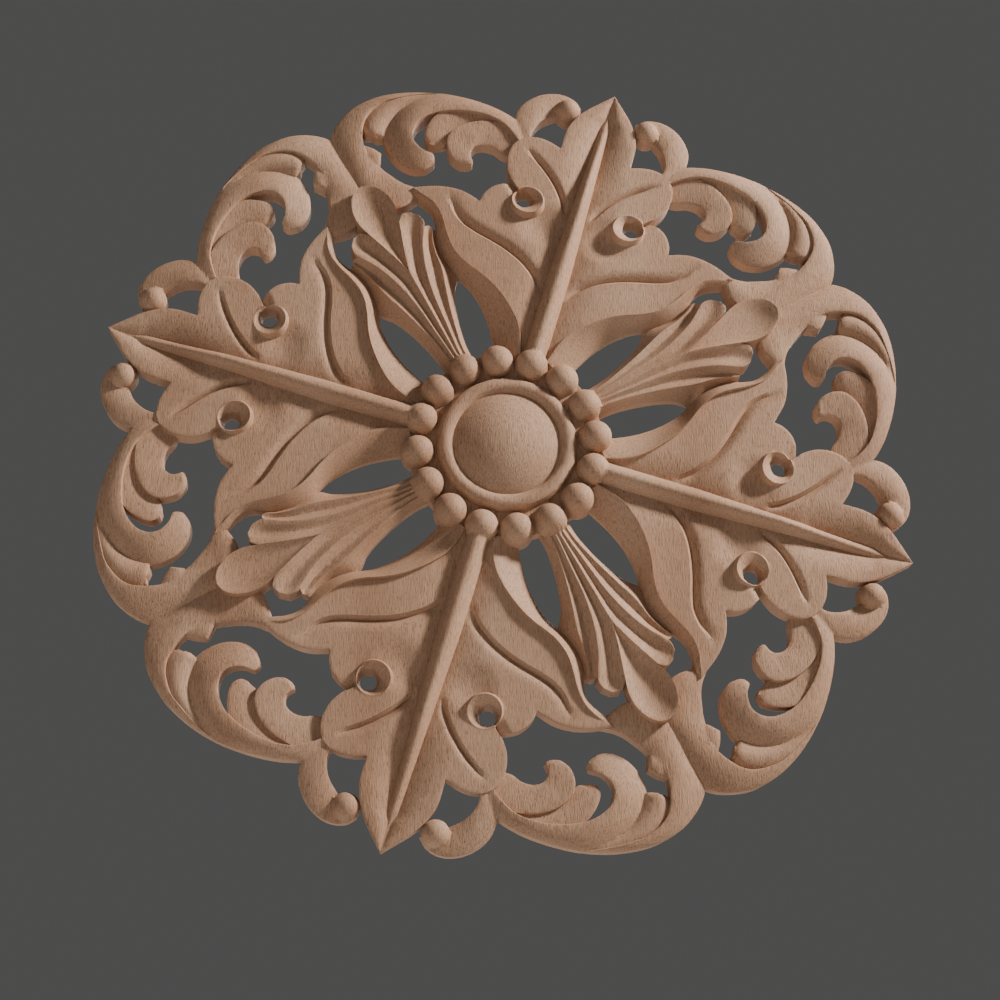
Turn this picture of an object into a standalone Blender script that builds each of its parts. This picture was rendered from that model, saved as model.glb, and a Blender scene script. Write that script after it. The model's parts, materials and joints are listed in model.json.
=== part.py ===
"""Carved wooden rosette: four lobed leaves on a cross, four fluted shells on the diagonals,
scrolls between them and a beaded boss in the middle, all pierced and carved from one board.

The board stands in the XZ plane with its flat back at Y = 0 and its carved face toward -Y.
One eighth of the relief is designed here in millimetres: x runs out along a leaf's midrib,
y toward the diagonal, and every height is measured from the flat back.
"""

import math

import bmesh
import bpy
import numpy as np
from mathutils.bvhtree import BVHTree
from mathutils.geometry import delaunay_2d_cdt

# Driving dimensions, in millimetres
LEAF_REACH = 200.0
BEAD_RING = 42.7
BEAD_RADIUS = 7.9
BEAD_LEVEL = 8.3
BEADS_IN_RING = 16
DISC_RADIUS = 46.7
DISC_LEVEL = 7.5
DOME_RADIUS = 25.6
DOME_EDGE = 10.0
DOME_TOP = 17.2
RING_MIDDLE = 29.6
RING_HALF_WIDTH = 3.9
RING_TOP = 12.6
RIB_HALF_WIDTH = 5.6
RIB_END = 186.0
RIB_END_HALF_WIDTH = 2.2
RIB_TOP = 14.2
LEAF_EDGE = 10.0
LEAF_VALLEY = 7.8
TIP_LEVEL = 8.5
TIP_HOLLOW = 1.8
BALL_CENTRE = (185.0, 20.8)
BALL_RADIUS = 6.4
BALL_LEVEL = 5.8
EYE_CENTRE = (127.2, 26.2)
EYE_CREST = 7.8
EYE_HOLE_CENTRE = (128.3, 28.3)
EYE_HOLE = 3.9
EYE_HOLE_LEVEL = 2.6
EYE_CREST_LEVEL = 11.6
EYE_CREST_LEAN = 1.5
EYE_FOOT = 1.4
EYE_HOLLOW_CENTRE = (117.6, 17.0)
EYE_HOLLOW_RADIUS = 14.0
EYE_HOLLOW_DEPTH = 2.0
HOLLOW_WIDTH = 15.0

# How finely the relief is faceted, in millimetres
SPAN_POINTS = 8
ACROSS = 9
CURVE_SAG = 0.48
GUIDE_SAG = 1.0
HIDDEN_UNDER = 0.3
LONGEST_FACET = 24.0
FIELD_STEP = 26.0
WALL_WIDTH = 0.6
LIP = 0.15
NEAR = 0.02

WOOD_COLOUR = (0.60, 0.42, 0.27, 1.0)

# The carved flows. A station is (x, y) of the left rail, (x, y) of the right rail, and the
# heights of the left rail, the middle and the right rail. Each flow runs from root to tip.
STEM_AND_OUTER_BAND = [
    ((112.5, 79.5), (118.5, 79.5), (7.6, 8.4, 7.8)),
    ((107.0, 83.5), (118.0, 85.0), (8.4, 9.2, 8.4)),
    ((103.5, 88.0), (118.6, 90.0), (8.6, 9.5, 8.4)),
    ((100.0, 98.0), (120.5, 95.5), (8.8, 9.5, 8.4)),
    ((106.0, 106.0), (122.8, 101.0), (8.5, 9.6, 8.2)),
    ((113.0, 113.0), (125.8, 106.0), (8.2, 9.8, 8.8)),
    ((120.0, 120.0), (130.0, 112.0), (7.6, 9.8, 9.5)),
    ((127.0, 127.0), (134.5, 114.8), (6.9, 9.6, 10.0)),
    ((130.9, 130.9), (139.0, 116.5), (6.4, 9.4, 10.2)),
    ((137.5, 131.0), (145.5, 117.7), (7.2, 9.5, 10.2)),
    ((145.0, 128.9), (152.5, 116.0), (7.8, 9.5, 10.0)),
    ((152.0, 125.3), (160.0, 110.8), (8.0, 9.4, 9.8)),
    ((158.0, 120.0), (164.0, 105.3), (8.0, 9.2, 9.5)),
    ((163.2, 113.8), (167.4, 99.8), (7.9, 8.9, 9.2)),
    ((168.0, 105.0), (170.4, 94.0), (7.7, 8.5, 8.8)),
    ((171.6, 95.5), (172.3, 89.5), (7.4, 8.1, 8.4)),
    ((174.0, 85.5), (173.4, 85.5), (7.2, 7.8, 8.0)),
]
STEM_BARB = [
    ((122.0, 111.0), (132.5, 113.5), (8.6, 9.2, 8.8)),
    ((123.0, 106.5), (132.2, 109.0), (8.7, 9.5, 8.8)),
    ((124.0, 103.6), (131.3, 105.0), (8.4, 9.2, 8.4)),
    ((124.8, 102.9), (130.8, 104.0), (8.0, 8.5, 8.0)),
]
INNER_STRIP = [
    ((173.6, 86.0), (172.6, 85.0), (7.2, 7.6, 7.2)),
    ((171.8, 93.0), (168.8, 91.8), (7.4, 8.4, 7.4)),
    ((167.8, 102.5), (163.8, 97.6), (7.4, 9.2, 7.4)),
    ((161.2, 111.4), (157.2, 102.9), (7.4, 9.6, 7.4)),
    ((153.2, 117.0), (150.0, 105.5), (7.4, 9.8, 7.4)),
    ((146.0, 118.6), (144.5, 106.0), (7.4, 9.8, 7.4)),
    ((141.3, 117.6), (141.2, 105.8), (7.0, 9.6, 7.2)),
    ((139.4, 114.8), (139.5, 108.6), (6.8, 8.8, 6.8)),
]
BIG_CURL = [
    ((161.4, 36.6), (155.0, 35.0), (8.8, 9.0, 9.0)),
    ((169.9, 43.4), (161.8, 43.0), (8.6, 9.7, 10.2)),
    ((173.4, 53.0), (166.3, 51.0), (8.6, 10.3, 10.8)),
    ((174.8, 63.0), (167.6, 60.0), (8.6, 10.7, 11.2)),
    ((175.0, 74.0), (166.6, 69.5), (8.4, 10.8, 11.4)),
    ((173.8, 86.0), (163.4, 79.6), (7.8, 10.8, 11.5)),
    ((170.2, 94.6), (158.8, 86.6), (6.8, 10.8, 11.6)),
    ((164.6, 100.6), (153.2, 91.0), (6.2, 10.8, 11.6)),
    ((157.8, 104.8), (148.6, 92.3), (6.2, 10.6, 11.6)),
    ((149.5, 107.0), (144.6, 91.8), (6.3, 10.4, 11.5)),
    ((141.0, 106.4), (141.6, 89.8), (6.4, 10.0, 11.2)),
    ((134.2, 101.6), (139.6, 86.6), (6.5, 9.6, 10.8)),
    ((129.8, 95.4), (138.7, 83.6), (6.5, 9.2, 10.2)),
    ((128.0, 88.0), (138.8, 81.2), (6.5, 8.8, 9.4)),
    ((129.6, 81.8), (138.9, 79.4), (6.5, 8.3, 8.6)),
    ((132.4, 78.9), (138.2, 78.3), (6.4, 7.6, 7.8)),
    ((134.6, 77.5), (136.4, 77.4), (6.4, 7.0, 7.0)),
]
SHORT_LOBE = [
    ((166.5, 48.0), (162.0, 46.0), (8.4, 7.8, 7.0)),
    ((169.0, 60.0), (162.6, 57.0), (9.2, 8.6, 7.2)),
    ((168.4, 70.0), (160.4, 63.5), (9.8, 9.0, 7.4)),
    ((165.0, 78.8), (156.4, 69.0), (10.2, 9.3, 7.4)),
    ((160.0, 84.0), (152.0, 72.6), (10.2, 9.4, 7.4)),
    ((153.5, 86.2), (148.6, 74.4), (9.9, 9.2, 7.2)),
    ((148.0, 86.4), (146.4, 75.8), (9.3, 8.8, 7.0)),
    ((145.2, 84.6), (145.2, 78.4), (8.6, 8.2, 7.0)),
    ((144.0, 82.8), (144.2, 80.0), (8.0, 7.8, 7.0)),
]
SMALL_CURL = [
    ((164.0, 36.0), (150.5, 38.0), (8.0, 7.4, 6.4)),
    ((166.0, 45.0), (150.3, 45.6), (8.8, 8.2, 7.0)),
    ((166.3, 52.0), (152.2, 51.0), (9.4, 8.8, 7.6)),
    ((164.4, 60.5), (152.2, 56.0), (9.8, 9.2, 8.0)),
    ((160.6, 67.4), (150.4, 59.6), (10.0, 9.6, 8.4)),
    ((155.6, 72.2), (148.0, 61.2), (10.3, 9.5, 8.6)),
    ((149.8, 74.6), (145.9, 61.5), (10.2, 9.5, 8.6)),
    ((144.4, 73.4), (144.2, 61.0), (9.8, 9.3, 8.6)),
    ((140.2, 70.0), (142.9, 60.1), (9.0, 8.9, 8.4)),
    ((138.2, 65.4), (142.0, 59.3), (8.2, 8.8, 8.0)),
    ((138.5, 62.4), (141.6, 58.9), (7.6, 8.0, 7.6)),
    ((139.3, 60.4), (140.4, 59.2), (7.4, 7.6, 7.4)),
]
HOOK = [
    ((162.0, 40.0), (158.0, 32.0), (8.8, 9.2, 9.2)),
    ((171.0, 45.0), (164.2, 35.0), (8.4, 9.4, 9.4)),
    ((178.6, 44.9), (168.4, 34.8), (7.6, 9.2, 9.2)),
    ((184.8, 41.6), (172.8, 33.2), (7.2, 9.0, 8.8)),
    ((189.8, 36.4), (176.4, 30.6), (7.0, 8.4, 7.8)),
    ((192.9, 30.0), (179.2, 27.4), (6.6, 7.6, 6.6)),
    ((193.6, 24.0), (182.0, 24.0), (6.2, 7.0, 5.8)),
    ((191.9, 18.4), (184.0, 20.0), (6.2, 6.8, 5.8)),
    ((188.4, 14.6), (185.0, 15.4), (6.0, 6.4, 6.0)),
]
LEAF_FOOT = [
    ((46.0, 6.6), (41.0, 17.0), (9.6, 7.4, 4.6)),
    ((54.0, 8.8), (50.5, 21.2), (10.2, 7.4, 3.4)),
    ((61.0, 12.0), (59.5, 26.2), (10.9, 7.6, 3.0)),
    ((67.5, 17.4), (66.5, 31.4), (11.5, 7.8, 3.0)),
    ((73.0, 23.6), (71.8, 36.6), (12.0, 8.0, 3.0)),
    ((77.6, 30.2), (75.8, 41.6), (12.2, 8.0, 3.0)),
    ((80.9, 36.8), (78.6, 47.0), (12.2, 8.0, 3.0)),
    ((83.4, 43.4), (80.6, 52.8), (12.2, 8.0, 2.8)),
    ((86.6, 49.6), (83.8, 58.0), (12.2, 8.0, 2.8)),
    ((91.4, 55.2), (88.4, 62.2), (12.2, 8.2, 3.4)),
    ((97.4, 59.4), (94.0, 65.0), (12.0, 8.6, 4.8)),
    ((104.0, 63.2), (100.6, 66.0), (11.6, 9.6, 6.6)),
    ((109.6, 67.6), (106.4, 68.4), (11.2, 10.0, 8.0)),
    ((113.2, 73.0), (110.4, 73.2), (10.8, 10.0, 8.4)),
    ((115.6, 79.4), (113.2, 79.6), (10.0, 9.6, 8.4)),
    ((116.8, 83.0), (115.6, 83.0), (9.2, 9.0, 8.4)),
]
# The shell's crests, base to tip, with their heights: the spoon's rim, the rim of the second
# scoop, the rim of the third, and the edge beside the leaf. Between them lie the flutes.
SPOON_RIM = [
    (69.0, 69.0, 12.9), (77.0, 74.2, 13.3), (86.0, 78.9, 13.5), (94.0, 82.8, 13.7), (101.0, 86.6, 13.9),
    (106.0, 91.6, 14.0), (108.9, 98.0, 14.0), (109.0, 103.0, 14.0), (107.0, 107.0, 14.0),
]
SPOON_FLOOR = [
    (69.0, 69.0, 12.9), (74.0, 74.0, 12.0), (80.0, 80.0, 11.2), (87.0, 87.0, 10.7), (94.0, 94.0, 10.6),
    (99.5, 99.5, 11.0), (103.5, 103.5, 12.0), (105.6, 105.6, 13.0), (107.0, 107.0, 14.0),
]
SECOND_RIM = [
    (28.0, 26.0, 9.6), (38.4, 35.6, 10.4), (49.6, 44.8, 11.2), (61.0, 54.2, 11.8), (70.6, 60.8, 12.2),
    (79.0, 65.3, 12.4), (87.0, 68.6, 12.4), (93.6, 70.2, 12.4), (98.6, 71.4, 12.3), (101.5, 74.6, 12.2),
]
SECOND_TOP = [
    (27.0, 27.0, 9.6), (37.0, 37.0, 10.6), (47.0, 47.0, 11.6), (58.0, 58.0, 12.4), (69.0, 69.0, 12.9),
    (77.0, 74.2, 13.3), (86.0, 78.9, 13.3), (93.6, 82.8, 12.9), (99.6, 83.2, 12.4), (102.0, 79.6, 12.2),
]
THIRD_RIM = [
    (31.0, 23.0, 8.4), (40.2, 33.4, 9.6), (51.0, 41.0, 10.2), (61.6, 47.2, 10.6), (70.6, 52.0, 10.8),
    (79.0, 56.6, 10.6), (86.6, 61.8, 9.8), (93.0, 65.2, 9.4), (97.2, 66.6, 9.2), (98.7, 67.6, 9.2),
]
THIRD_TOP = SECOND_RIM[:8] + [(97.0, 70.8, 11.4), (98.9, 69.2, 10.0)]
SHELL_EDGE = [
    (33.0, 21.0, 5.0), (41.6, 31.0, 5.0), (51.6, 38.2, 4.8), (62.0, 43.8, 4.6), (71.0, 47.2, 4.2),
    (80.5, 48.6, 3.0), (87.6, 57.0, 2.4), (93.6, 62.0, 2.6), (97.6, 64.0, 3.8), (98.9, 64.6, 4.6),
]
FLUTE_DEPTHS = [0.3, 0.7, 1.2, 1.7, 2.1, 2.3, 2.4, 2.2, 1.2, 0.3]
FLANK_DEPTHS = [0.4] * 10
SPOON_DEPTHS = [0.0, 0.4, 0.6, 0.8, 0.8, 0.8, 0.5, 0.2, 0.0]
# Where a flow's crest or trough runs, as a share of the way from its left rail to its right
CRESTS = {"stem": 0.5, "big_curl": 0.6, "small_curl": 0.5, "strip": 0.5, "first_flute": 0.5,
          "second_flute": 0.5}

# The leaf's own outline, tip to horn, broken where the knife turned a corner
LEAF_TIP_LOBE = [(200.0, 0.0), (194.0, 5.6), (187.0, 11.8), (180.0, 16.0), (172.0, 18.2), (161.2, 18.2)]
LEAF_OUTER_LOBE = [
    (161.2, 18.2), (163.2, 25.0), (163.6, 31.0), (161.8, 36.8), (157.0, 41.4),
    (150.0, 42.8), (143.0, 41.4), (138.0, 38.4), (134.6, 35.4),
]
LEAF_EYE_LOBE = [(134.6, 35.4), (133.2, 40.0), (130.0, 44.8), (125.0, 48.0), (119.8, 49.0)]
LEAF_HORN = [(119.8, 49.0), (121.6, 54.0), (122.8, 60.0), (122.4, 67.0), (120.6, 74.0), (116.8, 83.0)]
UPPER_CUT = [
    (80.5, 6.0), (86.0, 9.6), (91.0, 14.6), (95.6, 21.4), (99.2, 29.4),
    (101.8, 37.6), (103.8, 45.6), (106.4, 52.8), (110.6, 58.4), (115.4, 62.2), (119.6, 66.4),
]
LOWER_CUT = [(126.0, 6.0), (134.0, 10.4), (141.0, 15.8), (147.4, 22.6), (152.6, 29.6), (157.0, 35.8)]
SLIT = [(135.4, 36.2), (134.0, 34.7), (132.8, 33.4)]
SLIT_DEPTH = 2.5
SLIT_WALL = 0.5
SLIT_SLOPE = 5.0
CUT_WALL = 1.8


def smooth_line(points):
    """A smooth curve through the points."""
    points = np.array(points, float)
    ends = np.vstack([2 * points[0] - points[1], points, 2 * points[-1] - points[-2]])
    dense = []
    for i in range(len(points) - 1):
        a, b, c, d = ends[i:i + 4]
        for s in np.linspace(0, 1, SPAN_POINTS, endpoint=False):
            dense.append(0.5 * (2 * b + (c - a) * s + (2 * a - 5 * b + 4 * c - d) * s ** 2
                                + (3 * b - a - 3 * c + d) * s ** 3))
    dense.append(points[-1])
    return np.array(dense)


def circle(centre, radius):
    """A closed line round a centre, its last point on its first."""
    turn = np.linspace(0, 2 * math.pi, 49)
    return np.stack([centre[0] + radius * np.cos(turn), centre[1] + radius * np.sin(turn)], axis=1)


def few_points(line, sag):
    """The fewest points of a line that keep its shape within a small sag."""
    start, run = line[0], line[-1] - line[0]
    away = line - start
    reach = max(run @ run, 1e-9)
    t = np.clip(away @ run / reach, 0, 1)
    distance = np.linalg.norm(away - t[:, None] * run, axis=1)
    worst = int(distance.argmax())
    if len(line) > 2 and (distance[worst] > sag or math.sqrt(reach) > LONGEST_FACET):
        worst = worst if distance[worst] > 0.01 else len(line) // 2
        return np.vstack([few_points(line[:worst + 1], sag)[:-1], few_points(line[worst:], sag)])
    return line[[0, -1]]


def without_repeats(line):
    """The line without points that repeat the one before."""
    apart = np.linalg.norm(np.diff(line, axis=0), axis=1) > 0.05
    return line[np.r_[True, apart]]


def beside(line, distance):
    """The line moved to its right by a distance."""
    line = without_repeats(line)
    along = np.gradient(line, axis=0)
    along /= np.linalg.norm(along, axis=1)[:, None]
    return line + distance * np.stack([along[:, 1], -along[:, 0]], axis=1)


def inside(polygon, points):
    """Which points are inside a closed polygon."""
    x, y = points[:, 0], points[:, 1]
    found = np.zeros(len(points), bool)
    before = polygon[-1]
    for corner in polygon:
        if corner[1] != before[1]:
            crosses = (corner[1] > y) != (before[1] > y)
            at = (before[0] - corner[0]) * (y - corner[1]) / (before[1] - corner[1]) + corner[0]
            found ^= crosses & (x < at)
        before = corner
    return found


def nearest(line, points):
    """Distance from each point to a line, the side (+ is right) and how far along, 0 to 1."""
    best = np.full(len(points), 1e9)
    side = np.zeros(len(points))
    along = np.zeros(len(points))
    for i in range(len(line) - 1):
        start, run = line[i], line[i + 1] - line[i]
        away = points - start
        t = np.clip(away @ run / (run @ run + 1e-12), 0, 1)
        distance = np.linalg.norm(away - t[:, None] * run, axis=1)
        closer = distance < best
        best[closer] = distance[closer]
        side[closer] = np.sign(run[1] * away[:, 0] - run[0] * away[:, 1])[closer]
        along[closer] = (i + t[closer]) / (len(line) - 1)
    return best, side, along


def between(left, right, depths):
    """A flow's stations between two crests, its middle sunk by the depth given at each."""
    return [(a[:2], b[:2], (a[2], (a[2] + b[2]) / 2 - depth, b[2]))
            for a, b, depth in zip(left, right, depths)]


class Flow:
    """A carved strip between two rails, with a height on each rail and in its middle.

    Its section is an arch or, where it is soft, a wave that ends level at each rail."""

    def __init__(self, stations, soft=False):
        self.soft = soft
        self.rows = smooth_line([left + right + heights for left, right, heights in stations])
        self.left, self.right, self.heights = self.rows[:, 0:2], self.rows[:, 2:4], self.rows[:, 4:7]
        self.tree = BVHTree.FromPolygons(*self.surface())

    def pieces(self):
        """The strip's closed outline: left rail, tip, right rail and root."""
        return [self.left, np.array([self.left[-1], self.right[-1]]), self.right[::-1],
                np.array([self.right[0], self.left[0]])]

    def surface(self):
        """The strip's own surface, a lip wider than its rails."""
        across = self.right - self.left
        width = np.linalg.norm(across, axis=1)[:, None]
        beyond = LIP * across / np.maximum(width, 0.4)
        left, right = self.left - beyond, self.right + beyond
        points, faces = [], []
        for u in np.linspace(0, 1, ACROSS):
            bulge = (1 - math.cos(2 * math.pi * u)) / 2 if self.soft else 4 * u * (1 - u)
            shape = np.array([1 - u - bulge / 2, bulge, u - bulge / 2])
            points.extend(np.column_stack([left + u * (right - left), self.heights @ shape]).tolist())
        count = len(left)
        for j in range(ACROSS - 1):
            for i in range(count - 1):
                a = j * count + i
                faces.append((a, a + 1, a + count + 1, a + count))
        return points, faces

    def height(self, points):
        """Height of the strip over each point, and -1 beside it."""
        found = np.full(len(points), -1.0)
        for i, (x, y) in enumerate(points):
            hit = self.tree.ray_cast((x, y, 100.0), (0.0, 0.0, -1.0))[0]
            if hit is not None:
                found[i] = hit.z
        return found


FLOWS = {
    "stem": Flow(STEM_AND_OUTER_BAND),
    "barb": Flow(STEM_BARB),
    "strip": Flow(INNER_STRIP),
    "big_curl": Flow(BIG_CURL),
    "short_lobe": Flow(SHORT_LOBE),
    "small_curl": Flow(SMALL_CURL),
    "hook": Flow(HOOK),
    "leaf_foot": Flow(LEAF_FOOT),
    "spoon": Flow(between(SPOON_FLOOR, SPOON_RIM, SPOON_DEPTHS)),
    "first_flute": Flow(between(SECOND_TOP, SECOND_RIM, FLUTE_DEPTHS), soft=True),
    "second_flute": Flow(between(THIRD_TOP, THIRD_RIM, FLUTE_DEPTHS), soft=True),
    "flank": Flow(between(THIRD_RIM, SHELL_EDGE, FLANK_DEPTHS)),
}
# Each long cut: its line, how deep it goes, and how wide the slope is that runs down into it
CUTS = [(smooth_line(UPPER_CUT), 2.6, 5.5), (smooth_line(LOWER_CUT), 2.5, 3.2)]


def bead_centres():
    """The beads of the ring that reach into this eighth."""
    turn = 2 * math.pi / BEADS_IN_RING
    return [(BEAD_RING * math.cos(k * turn), BEAD_RING * math.sin(k * turn)) for k in range(3)]


def leaf_pieces():
    """The leaf's outline from its midrib, round its lobes and back along the arris of its foot."""
    lobes = [smooth_line(lobe) for lobe in (LEAF_TIP_LOBE, LEAF_OUTER_LOBE, LEAF_EYE_LOBE, LEAF_HORN)]
    return [np.array([(40.0, 0.0), (LEAF_REACH, 0.0)])] + lobes + [FLOWS["leaf_foot"].left[::-1]]


LEAF_POLYGON = without_repeats(np.vstack(leaf_pieces()))


def half_round(points, centre, radius, level):
    """Height of a ball or a bead over its own circle, and nothing outside it."""
    distance = np.linalg.norm(points - np.array(centre), axis=1)
    reach = np.clip(1 - (distance / radius) ** 2, 0, 1)
    return np.where(distance <= radius + LIP, level + radius * np.sqrt(reach), -1)


def leaf_height(points):
    """The leaf's surface: a slow hollow beside the midrib, two long cuts and the pierced eye."""
    x, y = points[:, 0], points[:, 1]
    edge = LEAF_EDGE - (LEAF_EDGE - TIP_LEVEL) * np.clip((x - 172) / 28, 0, 1)
    width = HOLLOW_WIDTH * np.clip((LEAF_REACH - x) / 30, 0.05, 1)
    rise = np.clip((y - rib_half_width(x)) / width, 0, 1)
    valley = valley_height(x)
    height = valley + (edge - valley) * (2 * rise - rise ** 2)
    for cut, depth, width in CUTS:
        distance, side, along = nearest(cut, points)
        fade = np.clip(np.minimum(along / 0.15, (1 - along) / 0.3), 0, 1)
        slope = np.where(side > 0, width, CUT_WALL)
        bend = np.where(side > 0, 2.0, 1.0)
        height = height - depth * fade * np.clip(1 - distance / slope, 0, 1) ** bend
    away = np.linalg.norm(points - np.array(EYE_HOLLOW_CENTRE), axis=1)
    height = height - EYE_HOLLOW_DEPTH * np.clip(1 - (away / EYE_HOLLOW_RADIUS) ** 2, 0, 1) ** 2
    height = eye_height(points, height)
    distance, side, _ = nearest(np.array(SLIT), points)
    height = height - SLIT_DEPTH * np.clip(1 - distance / np.where(side > 0, SLIT_SLOPE, SLIT_WALL), 0, 1)
    on_leaf = inside(LEAF_POLYGON, points) | (nearest(LEAF_POLYGON, points)[0] < LIP)
    return np.where(on_leaf, np.maximum(height, rib_height(points)), -1)


def eye_height(points, ground):
    """The raised ring round the drilled eye, and the funnel inside it."""
    away = points - np.array(EYE_CENTRE)
    distance = np.linalg.norm(away, axis=1)
    crest = EYE_CREST_LEVEL - EYE_CREST_LEAN * away[:, 0] / np.maximum(distance, 1e-6)
    outside = np.clip(distance - EYE_CREST, 0, None)
    raised = np.where(outside < EYE_FOOT, crest * (1 - (outside / EYE_FOOT) ** 2 / 2), -1)
    height = np.maximum(ground, raised)
    from_hole = np.linalg.norm(points - np.array(EYE_HOLE_CENTRE), axis=1) - EYE_HOLE
    from_hole = np.clip(from_hole, 0, None)
    to_crest = np.clip(EYE_CREST - distance, 0, None)
    share = np.clip(from_hole / (from_hole + to_crest + 1e-9), 0, 1)
    funnel = EYE_HOLE_LEVEL + (crest - EYE_HOLE_LEVEL) * share ** 0.28
    return np.where(distance < EYE_CREST, funnel, height)


def valley_height(x):
    """Depth of the hollow beside the midrib: deepest short of the tip."""
    tip = (TIP_LEVEL - LEAF_VALLEY) * np.clip((x - 188) / 12, 0, 1)
    return LEAF_VALLEY + tip - TIP_HOLLOW * np.clip(1 - ((x - 172) / 28) ** 2, 0, 1)


def rib_half_width(x):
    """The midrib narrows all the way, is rounded off short of the tip and goes on as a thin line."""
    half = RIB_END_HALF_WIDTH + (RIB_END - x) * (RIB_HALF_WIDTH - RIB_END_HALF_WIDTH) / 92
    half = np.minimum(half, RIB_HALF_WIDTH) * np.sqrt(np.clip((RIB_END - x) / 4, 0, 1))
    return np.maximum(half, 0.8 * np.clip((LEAF_REACH - x) / 14, 0.1, 1))


def rib_foot():
    """The line where the midrib meets the leaf."""
    x = np.linspace(40, LEAF_REACH - 2, 80)
    return np.column_stack([x, rib_half_width(x)])


def rib_height(points):
    """The midrib: a bar with a rounded ridge and two steep sides."""
    x, y = points[:, 0], points[:, 1]
    half = rib_half_width(x)
    foot = valley_height(x) - 0.4
    rise = (RIB_TOP - LEAF_VALLEY) * np.clip((RIB_END + 3 - x) / 54, 0, 1) ** 0.7
    rise = np.maximum(rise, 0.5 * np.clip(half / 0.4, 0, 1))
    bar = foot + rise * np.clip(1 - (y / half) ** 2, 0, 1) ** 0.7
    return np.where((np.abs(y) < half) & (x > 38), bar, -1)


def boss_height(points):
    """Dome, half-round ring, sunk band and the disc under the beads."""
    distance = np.linalg.norm(points, axis=1)
    dome = DOME_EDGE + (DOME_TOP - DOME_EDGE) * (1 - (distance / DOME_RADIUS) ** 2)
    across = np.abs(distance - RING_MIDDLE) / RING_HALF_WIDTH
    ring = DOME_EDGE - 0.8 + (RING_TOP - DOME_EDGE + 0.8) * np.sqrt(np.clip(1 - across ** 2, 0, 1))
    height = np.where(distance < DOME_RADIUS + LIP, dome, DISC_LEVEL)
    on_ring = across <= 1 + LIP / RING_HALF_WIDTH
    height = np.where(on_ring, np.maximum(height, ring), height)
    return np.where(distance <= DISC_RADIUS + LIP, height, -1)


def surfaces():
    """Each carved element by name: its height over given points."""
    found = {name: flow.height for name, flow in FLOWS.items()}
    found["leaf"] = leaf_height
    found["boss"] = boss_height
    found["ball"] = lambda points: half_round(points, BALL_CENTRE, BALL_RADIUS, BALL_LEVEL)
    for i, centre in enumerate(bead_centres()):
        found[f"bead_{i}"] = lambda points, c=centre: half_round(points, c, BEAD_RADIUS, BEAD_LEVEL)
    return found


SURFACES = surfaces()


def relief_height(points):
    """The highest carved surface over each point. A point just off its element's edge looks inward."""
    height = np.maximum.reduce([surface(points) for surface in SURFACES.values()])
    for reach in (0.3, 0.7, 1.5):
        for turn in np.arange(8) * math.pi / 4:
            bare = np.flatnonzero(height < 0)
            if len(bare) == 0:
                return height
            beyond = points[bare] + reach * np.array([math.cos(turn), math.sin(turn)])
            found = np.maximum.reduce([surface(beyond) for surface in SURFACES.values()])
            height[bare] = np.maximum(height[bare], found)
    return height


def outlines():
    """The closed outline of each element, as the pieces between its corners."""
    found = {name: flow.pieces() for name, flow in FLOWS.items()}
    found["leaf"] = leaf_pieces()
    found["boss"] = [circle((0, 0), DISC_RADIUS)]
    found["ball"] = [circle(BALL_CENTRE, BALL_RADIUS)]
    for i, centre in enumerate(bead_centres()):
        found[f"bead_{i}"] = [circle(centre, BEAD_RADIUS)]
    return found


def stretches(name, line, sag):
    """The line thinned out, and split where it goes under a higher element: (points, it shows)."""
    shows = relief_height(line) <= SURFACES[name](line) + HIDDEN_UNDER
    found, start = [], 0
    for i in range(1, len(line)):
        if shows[i] != shows[i - 1]:
            end = i if shows[i - 1] else i - 1
            found.append((line[start:end + 1], shows[i - 1]))
            start = end
    found.append((line[start:], shows[-1]))
    return [(few_points(part, sag), shown) for part, shown in found if len(part) > 1]


def guide_lines():
    """Lines that an element's facets must follow: crests, cuts and the feet of its steep walls."""
    found = [(f"bead_{i}", circle(centre, 0.75 * BEAD_RADIUS)) for i, centre in enumerate(bead_centres())]
    found.append(("ball", circle(BALL_CENTRE, 0.7 * BALL_RADIUS)))
    for radius in (DOME_RADIUS * 0.6, DOME_RADIUS, RING_MIDDLE, RING_MIDDLE + RING_HALF_WIDTH):
        found.append(("boss", circle((0, 0), radius)))
    found.append(("leaf", circle(EYE_CENTRE, EYE_CREST)))
    for cut, _, _ in CUTS:
        found += [("leaf", cut), ("leaf", beside(cut, -CUT_WALL))]
    found.append(("leaf", rib_foot()))
    for name, share in CRESTS.items():
        flow = FLOWS[name]
        found.append((name, flow.left + share * (flow.right - flow.left)))
    return found


def wall_feet():
    """Lines just outside the steep walls that stand over other elements."""
    rails = [(FLOWS["stem"].right, 1), (FLOWS["big_curl"].right, 1),
             (FLOWS["small_curl"].left, -1), (FLOWS["leaf_foot"].left, -1)]
    return [beside(rail, side * WALL_WIDTH) for rail, side in rails]


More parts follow.
